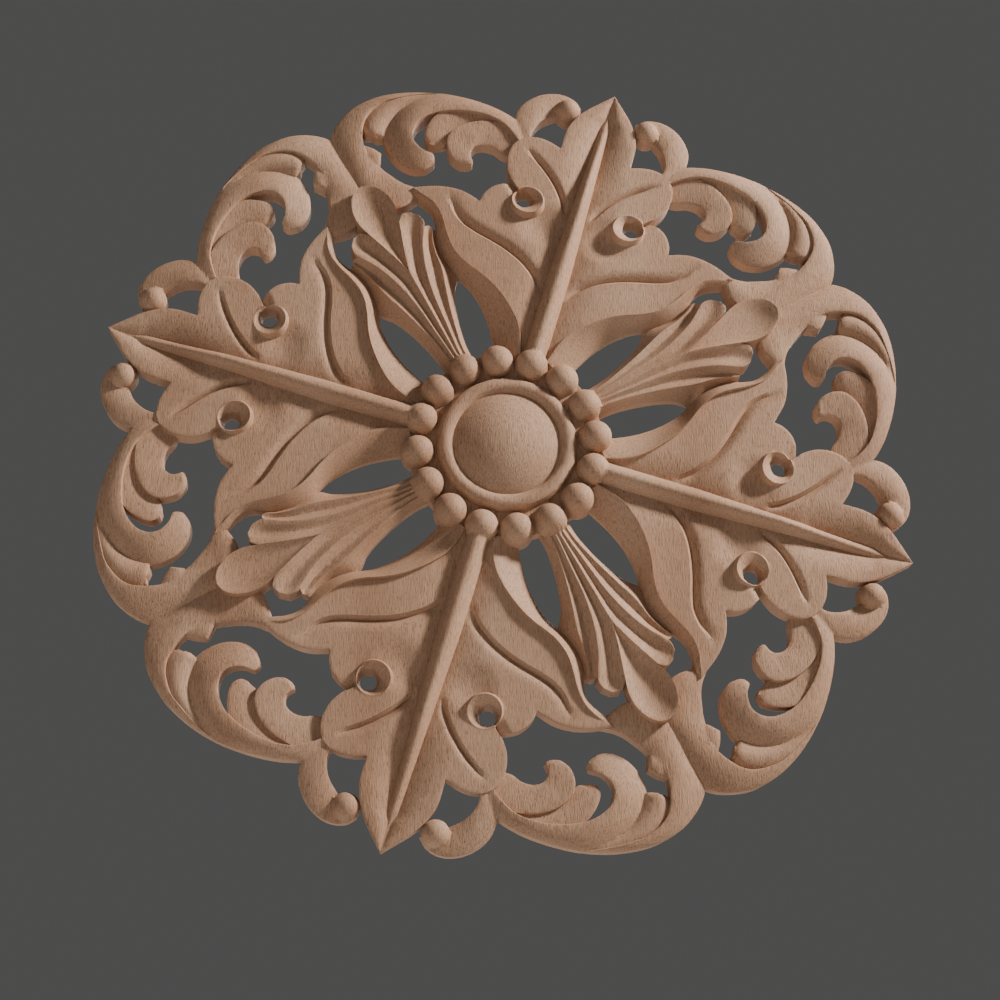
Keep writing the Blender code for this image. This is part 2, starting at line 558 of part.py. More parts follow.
def eighth():
    """Points, heights and triangles of one eighth of the carved face."""
    spots, edges, solid = [], [], []

    def add(line):
        start = len(spots)
        spots.extend(line.tolist())
        edges.extend((start + i, start + i + 1) for i in range(len(line) - 1))

    def add_thinned(name, line, sag):
        parts = stretches(name, line, sag)
        for part, shown in parts:
            if shown:
                add(part)
        return [part for part, _ in parts]

    for name, pieces in outlines().items():
        thin = [part for piece in pieces for part in add_thinned(name, piece, CURVE_SAG)]
        solid.append(without_repeats(np.vstack(thin)))
    hole = few_points(circle(EYE_HOLE_CENTRE, EYE_HOLE), CURVE_SAG)
    add(hole)
    for name, line in guide_lines():
        add_thinned(name, line, GUIDE_SAG)
    for line in wall_feet():
        add(few_points(line, GUIDE_SAG))
    add(np.array([(LEAF_REACH + 5, 0.0), (0.0, 0.0), (LEAF_REACH, LEAF_REACH)]))
    placed = np.array(spots)
    for row, y in enumerate(np.arange(0.4 * FIELD_STEP, 140, FIELD_STEP * 0.866)):
        for x in np.arange(y + 1.5 + (row % 2) * FIELD_STEP / 2, LEAF_REACH, FIELD_STEP):
            if np.min(np.linalg.norm(placed - (x, y), axis=1)) > 0.45 * FIELD_STEP:
                spots.append((x, y))
    made = delaunay_2d_cdt([tuple(s) for s in spots], edges, [], 0, NEAR)
    flat = np.array([tuple(v) for v in made[0]])
    triangles = np.array(made[2])
    flat[np.abs(flat[:, 1]) < 1e-3, 1] = 0
    on_diagonal = np.abs(flat[:, 0] - flat[:, 1]) < 1e-3
    flat[on_diagonal, 1] = flat[on_diagonal, 0]
    middle = flat[triangles].mean(axis=1)
    kept = np.logical_or.reduce([inside(outline, middle) for outline in solid])
    kept &= (middle[:, 1] > 0) & (middle[:, 1] < middle[:, 0]) & ~inside(hole, middle)
    used, triangles = np.unique(triangles[kept], return_inverse=True)
    flat = flat[used]
    triangles = triangles.reshape(-1, 3)
    return flat, relief_height(flat), triangles


def flat_back(flat, triangles):
    """Triangles of the flat back, from the eighth's border points alone."""
    ends = np.sort(np.vstack([triangles[:, [0, 1]], triangles[:, [1, 2]], triangles[:, [2, 0]]]), axis=1)
    pairs, count = np.unique(ends, axis=0, return_counts=True)
    border, local = np.unique(pairs[count == 1], return_inverse=True)
    made = delaunay_2d_cdt([tuple(p) for p in flat[border]], local.reshape(-1, 2).tolist(), [], 0, 1e-6)
    spots = np.array([tuple(v) for v in made[0]])
    back = np.array(made[2])
    original = np.array([min(ids) for ids in made[3]])
    kept = covered(flat[triangles], spots[back].mean(axis=1))
    return border[original[back[kept]]]


def covered(corners, points):
    """Which points lie under one of the front's triangles."""
    found = np.zeros(len(points), bool)
    a, b, c = corners[:, 0], corners[:, 1], corners[:, 2]
    for i, p in enumerate(points):
        turns = [(e[:, 0] - s[:, 0]) * (p[1] - s[:, 1]) - (e[:, 1] - s[:, 1]) * (p[0] - s[:, 0])
                 for s, e in ((a, b), (b, c), (c, a))]
        found[i] = np.any(np.all(np.array(turns) >= 0, axis=0) | np.all(np.array(turns) <= 0, axis=0))
    return found


def whole_relief():
    """The eighth, mirrored and turned four times, closed by walls and a flat back."""
    flat, height, triangles = eighth()
    back_triangles = flat_back(flat, triangles)
    border = set(back_triangles.ravel().tolist())
    mesh = bmesh.new()
    found, below = {}, {}

    def vertex(x, y, z):
        key = (round(x, 3), round(y, 3), round(z, 3))
        if key not in found:
            # The face looks along -Y, and the board's up is +Z.
            found[key] = mesh.verts.new((x / 1000, -z / 1000, y / 1000))
        return found[key]

    for quarter in range(4):
        cos, sin = (1, 0, -1, 0)[quarter], (0, 1, 0, -1)[quarter]
        for hand in (1, -1):
            spots = flat * (1, hand)
            spots = np.column_stack([spots[:, 0] * cos - spots[:, 1] * sin,
                                     spots[:, 0] * sin + spots[:, 1] * cos])
            front = [vertex(x, y, z) for (x, y), z in zip(spots, height)]
            back = {i: vertex(*spots[i], 0.0) for i in border}
            below.update((front[i], back[i]) for i in border)
            for a, b, c in triangles[:, ::hand]:
                mesh.faces.new((front[a], front[b], front[c]))
            for a, b, c in back_triangles[:, ::-hand]:
                mesh.faces.new((back[a], back[b], back[c]))
    for edge in [e for e in mesh.edges if len(e.link_faces) == 1 and e.verts[0] in below]:
        a, b = edge.verts
        mesh.faces.new((a, b, below[b], below[a]))
    bmesh.ops.recalc_face_normals(mesh, faces=mesh.faces)
    return mesh


def wood_material():
    material = bpy.data.materials.new("raw carved wood")
    material.use_nodes = True
    shader = material.node_tree.nodes["Principled BSDF"]
    shader.inputs["Base Color"].default_value = WOOD_COLOUR
    shader.inputs["Roughness"].default_value = 0.62
    shader.inputs["Metallic"].default_value = 0.0
    return material


def main():
    for obj in list(bpy.data.objects):
        bpy.data.objects.remove(obj)
    relief = whole_relief()
    mesh = bpy.data.meshes.new("rosette")
    relief.to_mesh(mesh)
    relief.free()
    rosette = bpy.data.objects.new("rosette", mesh)
    bpy.context.scene.collection.objects.link(rosette)
    mesh.materials.append(wood_material())
    mesh.shade_smooth()
    mesh.set_sharp_from_angle(angle=math.radians(35))
    print("rosette:", len(mesh.vertices), "points,", len(mesh.polygons), "faces")


main()
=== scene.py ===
# %% [markdown]
# Carved wooden rosette, dressed for its portrait.
# The rosette is one board, pierced right through and carved in low relief: four lobed leaves on a
# cross, four fluted shells on the diagonals, scrolls between them and a beaded boss in the middle.
# The frame that is loaded first holds its solid with few facets. This lesson carves the same relief
# again with little more than a millimetre between its points, softens its edges as sandpaper does,
# and gives it raw wood with pores and grain.

# %% Load the frame and keep its box
import json
import math

import bmesh
import bpy
import numpy as np
from mathutils import Matrix, Vector
from mathutils.bvhtree import BVHTree
from mathutils.geometry import delaunay_2d_cdt
from mathutils.kdtree import KDTree

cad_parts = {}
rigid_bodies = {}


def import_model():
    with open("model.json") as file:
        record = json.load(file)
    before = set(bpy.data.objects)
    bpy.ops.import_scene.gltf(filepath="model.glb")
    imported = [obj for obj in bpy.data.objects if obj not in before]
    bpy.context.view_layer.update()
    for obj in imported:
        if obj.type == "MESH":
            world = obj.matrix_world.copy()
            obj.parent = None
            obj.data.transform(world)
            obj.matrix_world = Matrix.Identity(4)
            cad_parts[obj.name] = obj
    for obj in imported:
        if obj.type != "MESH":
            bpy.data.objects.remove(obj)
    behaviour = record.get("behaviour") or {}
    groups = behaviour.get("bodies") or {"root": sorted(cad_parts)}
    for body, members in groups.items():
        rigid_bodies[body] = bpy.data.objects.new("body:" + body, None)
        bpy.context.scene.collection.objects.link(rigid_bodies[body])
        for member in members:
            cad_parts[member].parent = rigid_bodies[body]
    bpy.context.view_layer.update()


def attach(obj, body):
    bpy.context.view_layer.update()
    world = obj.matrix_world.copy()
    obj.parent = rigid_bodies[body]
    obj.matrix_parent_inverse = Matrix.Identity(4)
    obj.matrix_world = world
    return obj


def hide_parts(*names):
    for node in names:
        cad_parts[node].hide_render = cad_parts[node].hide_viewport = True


for leftover in list(bpy.data.objects):
    bpy.data.objects.remove(leftover)
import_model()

# %% [markdown]
# The camera stands a little below the rosette and rolls to one side, because the rosette is seen at
# a tilt. A lens of about 60 mm sees it from three quarters of a metre away. The viewing direction
# and the upward direction give the camera's turn, so it needs no target object.

# %% Camera
CAMERA_PLACE = Vector((0.0333, -0.7504, -0.2785))
CAMERA_LOOKS = Vector((-0.0365, 0.9468, 0.3197))
CAMERA_UP = Vector((-0.2825, -0.3166, 0.9055))
CAMERA_LENS = 59.9


def camera_at(place, looks, up, lens):
    """The scene's camera at a place, turned by its viewing and upward directions."""
    data = bpy.data.cameras.new("camera")
    data.lens = lens
    data.sensor_width = 36.0
    camera = bpy.data.objects.new("camera", data)
    back = -looks.normalized()
    right = up.cross(back).normalized()
    turn = Matrix((right, back.cross(right), back)).transposed()
    camera.matrix_world = Matrix.Translation(place) @ turn.to_4x4()
    bpy.context.scene.collection.objects.link(camera)
    bpy.context.scene.camera = camera
    return camera


camera = camera_at(CAMERA_PLACE, CAMERA_LOOKS, CAMERA_UP, CAMERA_LENS)
print("camera at", tuple(round(v, 3) for v in camera.location))

# %% [markdown]
# Carving is read by its shadows. One lamp high on the right rakes over the face, a weak one from the
# left keeps the shadows open, one behind lights the back, and a faint pale world fills the rest. The
# floor is plain and pale and lies below everything. A lamp is aimed with to_track_quat, which turns
# its -Z to its target.

# %% Lamps, world and floor
def lamp(name, place, target, size, power, colour):
    """A round area lamp that looks at the target."""
    bpy.ops.object.light_add(type="AREA", location=place)
    lamp_object = bpy.context.object
    lamp_object.name = name
    lamp_object.data.shape = "DISK"
    lamp_object.data.size = size
    lamp_object.data.energy = power
    lamp_object.data.color = colour
    lamp_object.rotation_euler = (Vector(target) - Vector(place)).to_track_quat("-Z", "Y").to_euler()
    return lamp_object


KEY_DIRECTION = Vector((0.62, -0.30, 0.78)).normalized()
lamp("key lamp", KEY_DIRECTION * 1.5, (0, 0, 0), 0.19, 50.0, (1.0, 0.96, 0.92))
lamp("fill lamp", (-0.9, -1.4, 0.3), (0, 0, 0), 1.0, 1.8, (0.96, 0.98, 1.0))

world = bpy.data.worlds.new("pale studio")
world.use_nodes = True
world.node_tree.nodes["Background"].inputs["Color"].default_value = (0.80, 0.80, 0.79, 1.0)
world.node_tree.nodes["Background"].inputs["Strength"].default_value = 0.10
bpy.context.scene.world = world

bpy.ops.object.select_all(action="DESELECT")
bpy.ops.mesh.primitive_plane_add(size=6.0, location=(0, 0, -0.70))
floor = bpy.context.object
floor.name = "floor"
paper = bpy.data.materials.new("pale paper")
paper.use_nodes = True
paper.node_tree.nodes["Principled BSDF"].inputs["Base Color"].default_value = (0.78, 0.77, 0.75, 1.0)
paper.node_tree.nodes["Principled BSDF"].inputs["Roughness"].default_value = 0.9
floor.data.materials.append(paper)
lamp("back lamp", (0.7, 1.6, 0.9), (0, 0, 0), 1.0, 14.0, (1.0, 0.98, 0.96))
print("key lamp from", tuple(round(v, 2) for v in KEY_DIRECTION))

# %% [markdown]
# A carver draws one eighth of this pattern and repeats it. So does this lesson: x runs out along a
# leaf's midrib, y toward the diagonal, and every height is measured from the flat back, all in
# millimetres. Catmull-Rom curves run through a few drawn points, as a bent spline would, and two
# small helpers measure how far a point is from a line and whether it is inside an outline.

# %% Drawing helpers
SPAN_POINTS = 7
LIP = 0.15
SAME_POINT = 0.05


def smooth_line(points):
    """A smooth curve through the points."""
    points = np.array(points, float)
    ends = np.vstack([2 * points[0] - points[1], points, 2 * points[-1] - points[-2]])
    dense = []
    for i in range(len(points) - 1):
        a, b, c, d = ends[i:i + 4]
        for s in np.linspace(0, 1, SPAN_POINTS, endpoint=False):
            dense.append(0.5 * (2 * b + (c - a) * s + (2 * a - 5 * b + 4 * c - d) * s ** 2
                                + (3 * b - a - 3 * c + d) * s ** 3))
    dense.append(points[-1])
    return np.array(dense)


def circle(centre, radius):
    """A closed line round a centre, with about a millimetre between its points."""
    turn = np.linspace(0, 2 * math.pi, max(24, round(2 * math.pi * radius)) + 1)
    return np.stack([centre[0] + radius * np.cos(turn), centre[1] + radius * np.sin(turn)], axis=1)


def without_repeats(line):
    """The line without points that repeat the one before."""
    apart = np.linalg.norm(np.diff(line, axis=0), axis=1) > SAME_POINT
    return line[np.r_[True, apart]]


def beside(line, distance):
    """The line moved to its right by a distance."""
    line = without_repeats(line)
    along = np.gradient(line, axis=0)
    along /= np.linalg.norm(along, axis=1)[:, None]
    return line + distance * np.stack([along[:, 1], -along[:, 0]], axis=1)


def inside(polygon, points):
    """Which points are inside a closed polygon."""
    x, y = points[:, 0], points[:, 1]
    found = np.zeros(len(points), bool)
    before = polygon[-1]
    for corner in polygon:
        if corner[1] != before[1]:
            crosses = (corner[1] > y) != (before[1] > y)
            at = (before[0] - corner[0]) * (y - corner[1]) / (before[1] - corner[1]) + corner[0]
            found ^= crosses & (x < at)
        before = corner
    return found


def nearest(line, points):
    """Distance from each point to a line, the side (+ is right) and how far along, 0 to 1."""
    best = np.full(len(points), 1e9)
    side = np.zeros(len(points))
    along = np.zeros(len(points))
    for i in range(len(line) - 1):
        start, run = line[i], line[i + 1] - line[i]
        away = points - start
        t = np.clip(away @ run / (run @ run + 1e-12), 0, 1)
        distance = np.linalg.norm(away - t[:, None] * run, axis=1)
        closer = distance < best
        best[closer] = distance[closer]
        side[closer] = np.sign(run[1] * away[:, 0] - run[0] * away[:, 1])[closer]
        along[closer] = (i + t[closer]) / (len(line) - 1)
    return best, side, along


print("a curve through 3 points has", len(smooth_line([(0, 0), (10, 0), (10, 10)])), "points")

# %% [markdown]
# A scroll, a lobe or a flute is a strip of wood between two rails. Each station of a strip gives the
# place of both rails and three heights: left rail, middle and right rail. A parabola through the
# three heights rounds the strip or hollows it.

# %% Strips between two rails
ACROSS = 15


def between(left, right, depths):
    """A flow's stations between two crests, its middle sunk by the depth given at each."""
    return [(a[:2], b[:2], (a[2], (a[2] + b[2]) / 2 - depth, b[2]))
            for a, b, depth in zip(left, right, depths)]


class Flow:
    """A carved strip between two rails, with a height on each rail and in its middle.

    Its section is an arch or, where it is soft, a wave that ends level at each rail."""

    def __init__(self, stations, soft=False):
        self.soft = soft
        self.rows = smooth_line([left + right + heights for left, right, heights in stations])
        self.left, self.right, self.heights = self.rows[:, 0:2], self.rows[:, 2:4], self.rows[:, 4:7]
        self.tree = BVHTree.FromPolygons(*self.surface())

    def pieces(self):
        """The strip's closed outline: left rail, tip, right rail and root."""
        return [self.left, np.array([self.left[-1], self.right[-1]]), self.right[::-1],
                np.array([self.right[0], self.left[0]])]

    def surface(self):
        """The strip's own surface, a lip wider than its rails."""
        across = self.right - self.left
        width = np.linalg.norm(across, axis=1)[:, None]
        beyond = LIP * across / np.maximum(width, 0.4)
        left, right = self.left - beyond, self.right + beyond
        points, faces = [], []
        for u in np.linspace(0, 1, ACROSS):
            bulge = (1 - math.cos(2 * math.pi * u)) / 2 if self.soft else 4 * u * (1 - u)
            shape = np.array([1 - u - bulge / 2, bulge, u - bulge / 2])
            points.extend(np.column_stack([left + u * (right - left), self.heights @ shape]).tolist())
        count = len(left)
        for j in range(ACROSS - 1):
            for i in range(count - 1):
                a = j * count + i
                faces.append((a, a + 1, a + count + 1, a + count))
        return points, faces

    def height(self, points):
        """Height of the strip over each point, and -1 beside it."""
        found = np.full(len(points), -1.0)
        for i, (x, y) in enumerate(points):
            hit = self.tree.ray_cast((x, y, 100.0), (0.0, 0.0, -1.0))[0]
            if hit is not None:
                found[i] = hit.z
        return found


# %% [markdown]
# The leaf. Its outline runs from the tip over three lobes to a pointed horn that overlaps the
# scroll's stem. The foot of the leaf is a bevelled strip that slopes from a sharp arris down to the
# long opening beside the shell. The outline is drawn lobe by lobe, so that the corners between the
# lobes stay sharp.

# %% Leaf outline and leaf foot
LEAF_REACH = 200.0
LEAF_EDGE = 10.0
LEAF_VALLEY = 7.8
TIP_LEVEL = 8.5
TIP_HOLLOW = 1.8
LEAF_TIP_LOBE = [(200.0, 0.0), (194.0, 5.6), (187.0, 11.8), (180.0, 16.0), (172.0, 18.2), (161.2, 18.2)]
LEAF_OUTER_LOBE = [
    (161.2, 18.2), (163.2, 25.0), (163.6, 31.0), (161.8, 36.8), (157.0, 41.4),
    (150.0, 42.8), (143.0, 41.4), (138.0, 38.4), (134.6, 35.4),
]
LEAF_EYE_LOBE = [(134.6, 35.4), (133.2, 40.0), (130.0, 44.8), (125.0, 48.0), (119.8, 49.0)]
LEAF_HORN = [(119.8, 49.0), (121.6, 54.0), (122.8, 60.0), (122.4, 67.0), (120.6, 74.0), (116.8, 83.0)]
LEAF_FOOT = [
    ((46.0, 6.6), (41.0, 17.0), (9.6, 7.4, 4.6)),
    ((54.0, 8.8), (50.5, 21.2), (10.2, 7.4, 3.4)),
    ((61.0, 12.0), (59.5, 26.2), (10.9, 7.6, 3.0)),
    ((67.5, 17.4), (66.5, 31.4), (11.5, 7.8, 3.0)),
    ((73.0, 23.6), (71.8, 36.6), (12.0, 8.0, 3.0)),
    ((77.6, 30.2), (75.8, 41.6), (12.2, 8.0, 3.0)),
    ((80.9, 36.8), (78.6, 47.0), (12.2, 8.0, 3.0)),
    ((83.4, 43.4), (80.6, 52.8), (12.2, 8.0, 2.8)),
    ((86.6, 49.6), (83.8, 58.0), (12.2, 8.0, 2.8)),
    ((91.4, 55.2), (88.4, 62.2), (12.2, 8.2, 3.4)),
    ((97.4, 59.4), (94.0, 65.0), (12.0, 8.6, 4.8)),
    ((104.0, 63.2), (100.6, 66.0), (11.6, 9.6, 6.6)),
    ((109.6, 67.6), (106.4, 68.4), (11.2, 10.0, 8.0)),
    ((113.2, 73.0), (110.4, 73.2), (10.8, 10.0, 8.4)),
    ((115.6, 79.4), (113.2, 79.6), (10.0, 9.6, 8.4)),
    ((116.8, 83.0), (115.6, 83.0), (9.2, 9.0, 8.4)),
]


leaf_foot = Flow(LEAF_FOOT)
LOBES = [smooth_line(lobe) for lobe in (LEAF_TIP_LOBE, LEAF_OUTER_LOBE, LEAF_EYE_LOBE, LEAF_HORN)]
MIDRIB_LINE = np.stack([np.arange(40.0, LEAF_REACH + 1), np.zeros(int(LEAF_REACH) - 39)], axis=1)
LEAF_PIECES = [MIDRIB_LINE] + LOBES + [leaf_foot.left[::-1]]
LEAF_POLYGON = without_repeats(np.vstack(LEAF_PIECES))
print("leaf outline:", len(LEAF_POLYGON), "points")

# %% [markdown]
# On the leaf lie a round midrib that thins out toward the tip, two long cuts with a steep wall on
# one side and a gouged slope on the other, and an eye: a raised ring round a funnel that is drilled
# right through. Each one is a small formula of the distance to a line or a point.

# %% Leaf surface: midrib, cuts and eye
RIB_HALF_WIDTH = 5.6
RIB_END = 186.0
RIB_END_HALF_WIDTH = 2.2
RIB_TOP = 14.2
RIB_START = 38.0
RIB_SUNK = 0.4
RIB_TAPER = 92.0
RIB_FALL = 54.0
RIB_RUNS_ON = 3
RIB_ROUNDNESS = 0.7
RIB_LINE_RISE = 0.5
RIB_LINE_FULL = 0.4
RIB_ROUNDING = 4.0
RIB_TAIL = 14.0
RIB_TAIL_HALF_WIDTH = 0.8
HOLLOW_WIDTH = 15.0
HOLLOW_FADES = 30.0
TIP_STARTS = 172.0
TIP_LENGTH = LEAF_REACH - TIP_STARTS
VALLEY_LIFTS = 188.0
EYE_CENTRE = (127.2, 26.2)
EYE_CREST = 7.8
EYE_HOLE_CENTRE = (128.3, 28.3)
EYE_HOLE = 3.9
EYE_HOLE_LEVEL = 2.6
EYE_CREST_LEVEL = 11.6
EYE_CREST_LEAN = 1.5
EYE_FOOT = 1.4
FUNNEL_BEND = 0.28
EYE_HOLLOW_CENTRE = (117.6, 17.0)
EYE_HOLLOW_RADIUS = 14.0
EYE_HOLLOW_DEPTH = 2.0
UPPER_CUT = [
    (80.5, 6.0), (86.0, 9.6), (91.0, 14.6), (95.6, 21.4), (99.2, 29.4),
    (101.8, 37.6), (103.8, 45.6), (106.4, 52.8), (110.6, 58.4), (115.4, 62.2), (119.6, 66.4),
]
LOWER_CUT = [(126.0, 6.0), (134.0, 10.4), (141.0, 15.8), (147.4, 22.6), (152.6, 29.6), (157.0, 35.8)]
SLIT = [(135.4, 36.2), (134.0, 34.7), (132.8, 33.4)]
SLIT_DEPTH = 2.5
SLIT_WALL = 0.5
SLIT_SLOPE = 5.0
CUT_WALL = 1.8
CUT_FADES_IN = 0.15
CUT_FADES_OUT = 0.3
# Each long cut: its line, how deep it goes, and how wide the slope is that runs down into it
CUTS = [(smooth_line(UPPER_CUT), 2.6, 5.5), (smooth_line(LOWER_CUT), 2.5, 3.2)]


def leaf_height(points):
    """The leaf's surface: a slow hollow beside the midrib, two long cuts and the pierced eye."""
    x, y = points[:, 0], points[:, 1]
    edge = LEAF_EDGE - (LEAF_EDGE - TIP_LEVEL) * np.clip((x - TIP_STARTS) / TIP_LENGTH, 0, 1)
    width = HOLLOW_WIDTH * np.clip((LEAF_REACH - x) / HOLLOW_FADES, 0.05, 1)
    rise = np.clip((y - rib_half_width(x)) / width, 0, 1)
    valley = valley_height(x)
    height = valley + (edge - valley) * (2 * rise - rise ** 2)
    for cut, depth, width in CUTS:
        distance, side, along = nearest(cut, points)
        fade = np.clip(np.minimum(along / CUT_FADES_IN, (1 - along) / CUT_FADES_OUT), 0, 1)
        slope = np.where(side > 0, width, CUT_WALL)
        bend = np.where(side > 0, 2.0, 1.0)
        height = height - depth * fade * np.clip(1 - distance / slope, 0, 1) ** bend
    away = np.linalg.norm(points - np.array(EYE_HOLLOW_CENTRE), axis=1)
    height = height - EYE_HOLLOW_DEPTH * np.clip(1 - (away / EYE_HOLLOW_RADIUS) ** 2, 0, 1) ** 2
    height = eye_height(points, height)
    distance, side, _ = nearest(np.array(SLIT), points)
    height = height - SLIT_DEPTH * np.clip(1 - distance / np.where(side > 0, SLIT_SLOPE, SLIT_WALL), 0, 1)
    on_leaf = inside(LEAF_POLYGON, points) | (nearest(LEAF_POLYGON, points)[0] < LIP)
    return np.where(on_leaf, np.maximum(height, rib_height(points)), -1)


def eye_height(points, ground):
    """The raised ring round the drilled eye, and the funnel inside it."""
    away = points - np.array(EYE_CENTRE)
    distance = np.linalg.norm(away, axis=1)
    crest = EYE_CREST_LEVEL - EYE_CREST_LEAN * away[:, 0] / np.maximum(distance, 1e-6)
    outside = np.clip(distance - EYE_CREST, 0, None)
    raised = np.where(outside < EYE_FOOT, crest * (1 - (outside / EYE_FOOT) ** 2 / 2), -1)
    height = np.maximum(ground, raised)
    from_hole = np.linalg.norm(points - np.array(EYE_HOLE_CENTRE), axis=1) - EYE_HOLE
    from_hole = np.clip(from_hole, 0, None)
    to_crest = np.clip(EYE_CREST - distance, 0, None)
    share = np.clip(from_hole / (from_hole + to_crest + 1e-9), 0, 1)
    funnel = EYE_HOLE_LEVEL + (crest - EYE_HOLE_LEVEL) * share ** FUNNEL_BEND
    return np.where(distance < EYE_CREST, funnel, height)


def valley_height(x):
    """Depth of the hollow beside the midrib: deepest short of the tip."""
    tip = (TIP_LEVEL - LEAF_VALLEY) * np.clip((x - VALLEY_LIFTS) / (LEAF_REACH - VALLEY_LIFTS), 0, 1)
    return LEAF_VALLEY + tip - TIP_HOLLOW * np.clip(1 - ((x - TIP_STARTS) / TIP_LENGTH) ** 2, 0, 1)


def rib_half_width(x):
    """The midrib narrows all the way, is rounded off short of the tip and goes on as a thin line."""
    half = RIB_END_HALF_WIDTH + (RIB_END - x) * (RIB_HALF_WIDTH - RIB_END_HALF_WIDTH) / RIB_TAPER
    half = np.minimum(half, RIB_HALF_WIDTH) * np.sqrt(np.clip((RIB_END - x) / RIB_ROUNDING, 0, 1))
    return np.maximum(half, RIB_TAIL_HALF_WIDTH * np.clip((LEAF_REACH - x) / RIB_TAIL, 0.1, 1))


def rib_foot():
    """The line where the midrib meets the leaf."""
    x = np.linspace(40, LEAF_REACH - 2, 80)
    return np.column_stack([x, rib_half_width(x)])


def rib_height(points):
    """The midrib: a bar with a rounded ridge and two steep sides."""
    x, y = points[:, 0], points[:, 1]
    half = rib_half_width(x)
    foot = valley_height(x) - RIB_SUNK
    rise = (RIB_TOP - LEAF_VALLEY) * np.clip((RIB_END + RIB_RUNS_ON - x) / RIB_FALL, 0, 1) ** RIB_ROUNDNESS
    rise = np.maximum(rise, RIB_LINE_RISE * np.clip(half / RIB_LINE_FULL, 0, 1))
    bar = foot + rise * np.clip(1 - (y / half) ** 2, 0, 1) ** RIB_ROUNDNESS
    return np.where((np.abs(y) < half) & (x > RIB_START), bar, -1)


print("leaf height at the midrib:", leaf_height(np.array([[100.0, 0.0], [100.0, 12.0]])).round(1))

# %% [markdown]
# The boss looks like turned work, but it is carved: a low dome, a half-round ring, a sunk band and
# a ring of beads. A bead is a ball that stands in the board a little above its middle.

# %% Boss and beads
BEAD_RING = 42.7
BEAD_RADIUS = 7.9
BEAD_LEVEL = 8.3
BEADS_IN_RING = 16
DISC_RADIUS = 46.7
DISC_LEVEL = 7.5
DOME_RADIUS = 25.6
DOME_EDGE = 10.0
DOME_TOP = 17.2
RING_MIDDLE = 29.6
RING_HALF_WIDTH = 3.9
RING_TOP = 12.6
RING_SUNK = 0.8
RING_WALL = 0.3


def bead_centres():
    """The beads of the ring that reach into this eighth."""
    turn = 2 * math.pi / BEADS_IN_RING
    return [(BEAD_RING * math.cos(k * turn), BEAD_RING * math.sin(k * turn)) for k in range(3)]


def half_round(points, centre, radius, level):
    """Height of a ball or a bead over its own circle, and nothing outside it."""
    distance = np.linalg.norm(points - np.array(centre), axis=1)
    reach = np.clip(1 - (distance / radius) ** 2, 0, 1)
    return np.where(distance <= radius + LIP, level + radius * np.sqrt(reach), -1)


def boss_height(points):
    """Dome, half-round ring, sunk band and the disc under the beads."""
    distance = np.linalg.norm(points, axis=1)
    dome = DOME_EDGE + (DOME_TOP - DOME_EDGE) * (1 - (distance / DOME_RADIUS) ** 2)
    across = np.abs(distance - RING_MIDDLE) / RING_HALF_WIDTH
    round_top = np.sqrt(np.clip(1 - across ** 2, 0, 1))
    ring = DOME_EDGE - RING_SUNK + (RING_TOP - DOME_EDGE + RING_SUNK) * round_top
    height = np.where(distance < DOME_RADIUS + LIP, dome, DISC_LEVEL)
    on_ring = across <= 1 + LIP / RING_HALF_WIDTH
    height = np.where(on_ring, np.maximum(height, ring), height)
    return np.where(distance <= DISC_RADIUS + LIP, height, -1)


print("beads that reach into the eighth:", [tuple(round(v, 1) for v in c) for c in bead_centres()])

# %% [markdown]
# The shell has a hollow spoon on the diagonal and two flutes on each side, which share their crests.
# The crests are drawn once, with their heights, and the strips between them sink by a given depth.

# %% Shell: spoon, flutes and flank
SPOON_RIM = [
    (69.0, 69.0, 12.9), (77.0, 74.2, 13.3), (86.0, 78.9, 13.5), (94.0, 82.8, 13.7), (101.0, 86.6, 13.9),
    (106.0, 91.6, 14.0), (108.9, 98.0, 14.0), (109.0, 103.0, 14.0), (107.0, 107.0, 14.0),
]
SPOON_FLOOR = [
    (69.0, 69.0, 12.9), (74.0, 74.0, 12.0), (80.0, 80.0, 11.2), (87.0, 87.0, 10.7), (94.0, 94.0, 10.6),
    (99.5, 99.5, 11.0), (103.5, 103.5, 12.0), (105.6, 105.6, 13.0), (107.0, 107.0, 14.0),
]
SECOND_RIM = [
    (28.0, 26.0, 9.6), (38.4, 35.6, 10.4), (49.6, 44.8, 11.2), (61.0, 54.2, 11.8), (70.6, 60.8, 12.2),
    (79.0, 65.3, 12.4), (87.0, 68.6, 12.4), (93.6, 70.2, 12.4), (98.6, 71.4, 12.3), (101.5, 74.6, 12.2),
]
SECOND_TOP = [
    (27.0, 27.0, 9.6), (37.0, 37.0, 10.6), (47.0, 47.0, 11.6), (58.0, 58.0, 12.4), (69.0, 69.0, 12.9),
    (77.0, 74.2, 13.3), (86.0, 78.9, 13.3), (93.6, 82.8, 12.9), (99.6, 83.2, 12.4), (102.0, 79.6, 12.2),
]
THIRD_RIM = [
    (31.0, 23.0, 8.4), (40.2, 33.4, 9.6), (51.0, 41.0, 10.2), (61.6, 47.2, 10.6), (70.6, 52.0, 10.8),
    (79.0, 56.6, 10.6), (86.6, 61.8, 9.8), (93.0, 65.2, 9.4), (97.2, 66.6, 9.2), (98.7, 67.6, 9.2),
]
THIRD_TOP = SECOND_RIM[:8] + [(97.0, 70.8, 11.4), (98.9, 69.2, 10.0)]
SHELL_EDGE = [
    (33.0, 21.0, 5.0), (41.6, 31.0, 5.0), (51.6, 38.2, 4.8), (62.0, 43.8, 4.6), (71.0, 47.2, 4.2),
    (80.5, 48.6, 3.0), (87.6, 57.0, 2.4), (93.6, 62.0, 2.6), (97.6, 64.0, 3.8), (98.9, 64.6, 4.6),
]
FLUTE_DEPTHS = [0.3, 0.7, 1.2, 1.7, 2.1, 2.3, 2.4, 2.2, 1.2, 0.3]
